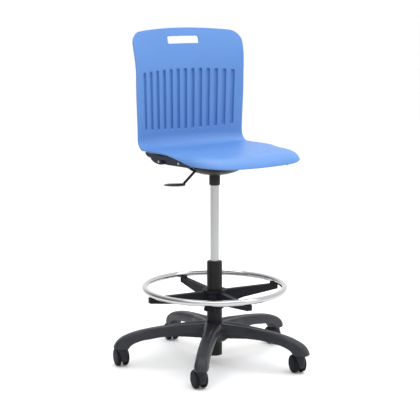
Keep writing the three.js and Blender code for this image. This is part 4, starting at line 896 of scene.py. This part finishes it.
def arm_section(x):
    share = x / STEM_REACH
    top = ARM_END_Z + ARM_TOP(share)
    bottom = ARM_END_Z + ARM_LOW(share)
    step = max(bottom + 0.6, ARM_END_Z + ARM_STEP(share))
    to_tip = max(0.0, 1 - (ARM_TIP - x) / ARM_HALF_WIDTH)
    flare = ROOT_FLARE * (1 - float(smooth_step(45, 128, x)))
    w = ARM_HALF_WIDTH * math.sqrt(max(0.22, 1 - to_tip**2 * 0.8)) + flare
    web = min(ARM_WEB_HALF_WIDTH + (w - ARM_WEB_HALF_WIDTH) * float(smooth_step(0.72, 0.9, share)), w - 1)
    tall = top - step
    valley = 7.5 * (1 - float(smooth_step(0.2, 0.85, share)))
    half = [(0, bottom), (web * 0.6, bottom), (web, bottom), (web, (bottom + step) / 2), (web, step),
            ((web + w) / 2, step), (w, step)]
    for k in range(1, 17):
        t = math.cos(math.pi / 2 * k / 16)
        rise = (1 - t**3.4) ** (1 / 3.4)
        dip = valley * math.exp(-((t / 0.46) ** 2))
        half.append((w * t, step + tall * rise - dip))
    right = [(x, y, z) for y, z in half]
    left = [(x, -y, z) for y, z in reversed(half[1:-1])]
    return right + left


def build_base():
    hub_top = ARM_END_Z + 77
    hub = lathe([(0, hub_top - 62), (38, hub_top - 62), (46, hub_top - 54), (46, hub_top - 12),
                 (36, hub_top - 6), (30, hub_top - 1), (0, hub_top - 1)], 96)
    reaches = list(np.linspace(18, 300, 64)) + list(np.linspace(303, ARM_TIP, 16))
    arms = [moved(loft([arm_section(x) for x in reaches]), turn_z(ARM_TURN + 72 * i)) for i in range(5)]
    work = bmesh.new()
    for mesh in [hub, *arms]:
        work.from_mesh(mesh)
    body = bpy.data.meshes.new("base")
    work.to_mesh(body)
    work.free()
    soft = evaluated(body, ("REMESH", {"mode": "VOXEL", "voxel_size": 1.5, "adaptivity": 0.0}),
                     ("SMOOTH", {"factor": 0.5, "iterations": 14}))
    lowest = min(v.co.z for v in soft.vertices)
    for v in soft.vertices:
        if v.co.z < ARM_END_Z + 1.2:
            v.co.z = ARM_END_Z + max(0.0, v.co.z - lowest)
    bore = rod(TUBE_RADIUS + 0.3, 0, 400, 96)
    cutters = [bore]
    for i in range(5):
        angle = math.radians(ARM_TURN + 72 * i)
        socket = rod(5.85, 0, ARM_END_Z + 32, 32)
        cutters.append(moved(socket, shift(STEM_REACH * math.cos(angle), STEM_REACH * math.sin(angle), 0)))
    star = carved([soft], cutters, solver="MANIFOLD")
    piece("star_base", star, "root", "charcoal_plastic", ["base_star"], smooth_deg=50)


# ---------------------------------------------------------------- casters

WHEEL_RADIUS = 30.0
TRAIL = 17.5
WHEEL_INNER = 7.2
WHEEL_OUTER = 20.0
CASTER_TURN = -13.0
HOOD_TOP_Z = high("caster_1_hood").z


def wheel_mesh(side):
    """A tread wheel with a raised rim round a shallow domed face; the axle ends inside it."""
    r = WHEEL_RADIUS
    profile = [(3.35, WHEEL_INNER), (9, WHEEL_INNER), (9, WHEEL_INNER + 2), (24, WHEEL_INNER + 2),
               (25, WHEEL_INNER), (r - 3.2, WHEEL_INNER), (r - 1.4, WHEEL_INNER + 0.5),
               (r - 0.3, WHEEL_INNER + 1.7), (r, WHEEL_INNER + 3.4), (r, WHEEL_OUTER - 6.5),
               (r - 0.3, WHEEL_OUTER - 4.6), (r - 1.0, WHEEL_OUTER - 2.9), (r - 2.1, WHEEL_OUTER - 1.5),
               (r - 3.4, WHEEL_OUTER - 0.7), (r - 4.4, WHEEL_OUTER - 0.6), (r - 4.9, WHEEL_OUTER - 2.2),
               (r - 5.9, WHEEL_OUTER - 2.4), (r - 6.6, WHEEL_OUTER - 1.2), (r - 9, WHEEL_OUTER - 0.7),
               (r - 15, WHEEL_OUTER - 0.25), (0, WHEEL_OUTER), (0, WHEEL_INNER + 8.3),
               (3.35, WHEEL_INNER + 8.3)]
    wheel = lathe(profile, 72)
    return moved(wheel, shift(0, TRAIL, WHEEL_RADIUS) @ turn_y(90 * side))


def hood_mesh():
    body = lathe([(0, 18), (10, 18), (13.6, 19.4), (16, 23), (17, 30), (17, HOOD_TOP_Z - 1.6),
                  (16.5, HOOD_TOP_Z - 0.5), (15.4, HOOD_TOP_Z), (0, HOOD_TOP_Z)], 64)
    web_half = WHEEL_INNER - 1.2
    axle_place = shift(0, TRAIL, WHEEL_RADIUS)
    web_end = moved(rod(9, -web_half, web_half, 48), axle_place @ turn_y(90))
    web = block((-web_half, 0, WHEEL_RADIUS - 8.5), (web_half, TRAIL, WHEEL_RADIUS + 17))
    wells = [moved(rod(31.1, web_half, 36, 96), axle_place @ turn_y(90 * side)) for side in (-1, 1)]
    stem_bore = rod(5.85, HOOD_TOP_Z - 24.3, HOOD_TOP_Z + 5, 32)
    axle_bore = moved(rod(3.3, -17, 17, 32), shift(0, TRAIL, WHEEL_RADIUS) @ turn_y(90))
    return carved([body, web_end, web], [*wells, stem_bore, axle_bore], 0.55, 2)


def build_casters():
    hood = hood_mesh()
    wheels = {"right": wheel_mesh(-1), "left": wheel_mesh(1)}
    stem_low, stem_top = low("caster_1_stem").z, high("caster_1_stem").z
    stem = lathe([(0, stem_low), (4.7, stem_low), (5.5, stem_low + 0.8), (5.5, stem_top - 1.5),
                  (4.2, stem_top), (0, stem_top)], 40)
    half = WHEEL_INNER + 8.0
    axle = lathe([(0, -half), (2.6, -half), (3, -half + 0.4), (3, half - 0.4), (2.6, half), (0, half)], 32)
    moved(axle, shift(0, TRAIL, WHEEL_RADIUS) @ turn_y(90))
    for i in range(1, 6):
        angle = math.radians(ARM_TURN + 72 * (i - 1))
        put = shift(STEM_REACH * math.cos(angle), STEM_REACH * math.sin(angle), 0) @ turn_z(CASTER_TURN)
        body = f"caster_{i}"
        piece(f"swivel_hood_{i}", moved(hood.copy(), put), body, "dark_plastic", [f"{body}_hood"],
              look="hood_plastic")
        piece(f"swivel_stem_{i}", moved(stem.copy(), put), body, "zinc_steel", [f"{body}_stem"])
        piece(f"wheel_axle_{i}", moved(axle.copy(), put), body, "zinc_steel", [f"{body}_axle"])
        for side, mesh in wheels.items():
            node = f"{body}_wheel_{side}"
            piece(f"tread_wheel_{side}_{i}", moved(mesh.copy(), put), node, "dark_plastic", [node])


# ---------------------------------------------------------------- the rest of the CAD pieces


def dress_cad_nodes():
    slots = {part["node"]: part["material_slot"] for part in frame["record"]["subparts"]}
    for name, obj in frame["nodes"].items():
        if obj.hide_render:
            continue
        for held in obj.material_slots:
            held.material = MATERIALS[slots[name]]


# ---------------------------------------------------------------- floor, light and camera


def build_floor():
    corners = [(-60, -60, -0.0003), (60, -60, -0.0003), (60, 60, -0.0003), (-60, 60, -0.0003)]
    mesh = mesh_of(corners, [(0, 1, 2, 3)])
    floor = bpy.data.objects.new("floor", mesh)
    bpy.context.scene.collection.objects.link(floor)
    material, nodes, links, shader = principled("studio_floor")
    coords = nodes.new("ShaderNodeTexCoord")
    clouds = noise(nodes, links, coords, 3.0, 2.0)
    links.new(ramped(nodes, links, clouds.outputs["Fac"], 0.3, 0.7, 0.85, 0.95), shader.inputs["Roughness"])
    shader.inputs["Base Color"].default_value = (0.93, 0.93, 0.93, 1)
    shader.inputs["Specular IOR Level"].default_value = 0.1
    shader.inputs["Emission Color"].default_value = (1, 1, 1, 1)
    shader.inputs["Emission Strength"].default_value = 0.035
    mesh.materials.append(material)


def area_light(name, place, target, size, power, tone=(1, 1, 1)):
    data = bpy.data.lights.new(name, "AREA")
    data.shape = "RECTANGLE"
    data.size, data.size_y = size
    data.energy = power
    data.color = tone
    light = bpy.data.objects.new(name, data)
    light.location = place
    light.rotation_euler = (Vector(target) - Vector(place)).to_track_quat("-Z", "Y").to_euler()
    bpy.context.scene.collection.objects.link(light)


SKY_BRIGHT = 1.16
SKY_DIM = 0.25
SKY_DIM_SIDE = (-0.8, 0.6, 0.0)


def build_light():
    """A bright sky that dims towards one side, an overhead panel and a weaker front one."""
    world = bpy.data.worlds.new("studio")
    bpy.context.scene.world = world
    world.use_nodes = True
    nodes, links = world.node_tree.nodes, world.node_tree.links
    background = nodes["Background"]
    background.inputs["Color"].default_value = (1, 1, 1, 1)
    coords = nodes.new("ShaderNodeTexCoord")
    sideways = nodes.new("ShaderNodeVectorMath")
    sideways.operation = "DOT_PRODUCT"
    sideways.inputs[1].default_value = SKY_DIM_SIDE
    links.new(coords.outputs["Generated"], sideways.inputs[0])
    strength = ramped(nodes, links, sideways.outputs["Value"], 0.35, 0.9, SKY_BRIGHT, SKY_DIM)
    links.new(strength, background.inputs["Strength"])
    area_light("overhead", (0.1, -0.4, 3.6), (0, 0, 0.4), (3.6, 3.6), 105)
    area_light("key", (1.6, -3.2, 2.6), (0, 0, 0.7), (1.8, 1.8), 13)


def build_camera():
    """The camera stands in front and to the left of the chair and looks slightly down."""
    distance, side, height = 4110.5, 14.99, 1206.85
    azimuth, pitch = math.radians(-37.0), math.radians(9.609)
    right = Vector((math.cos(azimuth), math.sin(azimuth), 0))
    forward = Vector((-math.sin(azimuth), math.cos(azimuth), 0))
    place = -forward * distance - right * side + Vector((0, 0, height))
    data = bpy.data.cameras.new("camera")
    data.sensor_width = 36.0
    data.lens = 109.84
    camera = bpy.data.objects.new("camera", data)
    camera.location = TO_FRAME @ place
    camera.rotation_euler = (math.pi / 2 - pitch, 0, azimuth)
    bpy.context.scene.collection.objects.link(camera)
    bpy.context.scene.camera = camera


bpy.context.scene.view_settings.view_transform = "Standard"
build_camera()
build_light()
build_floor()
build_shell()
build_frame()
build_mechanism()
build_lever()
build_column()
build_foot_ring()
build_base()
build_casters()
dress_cad_nodes()
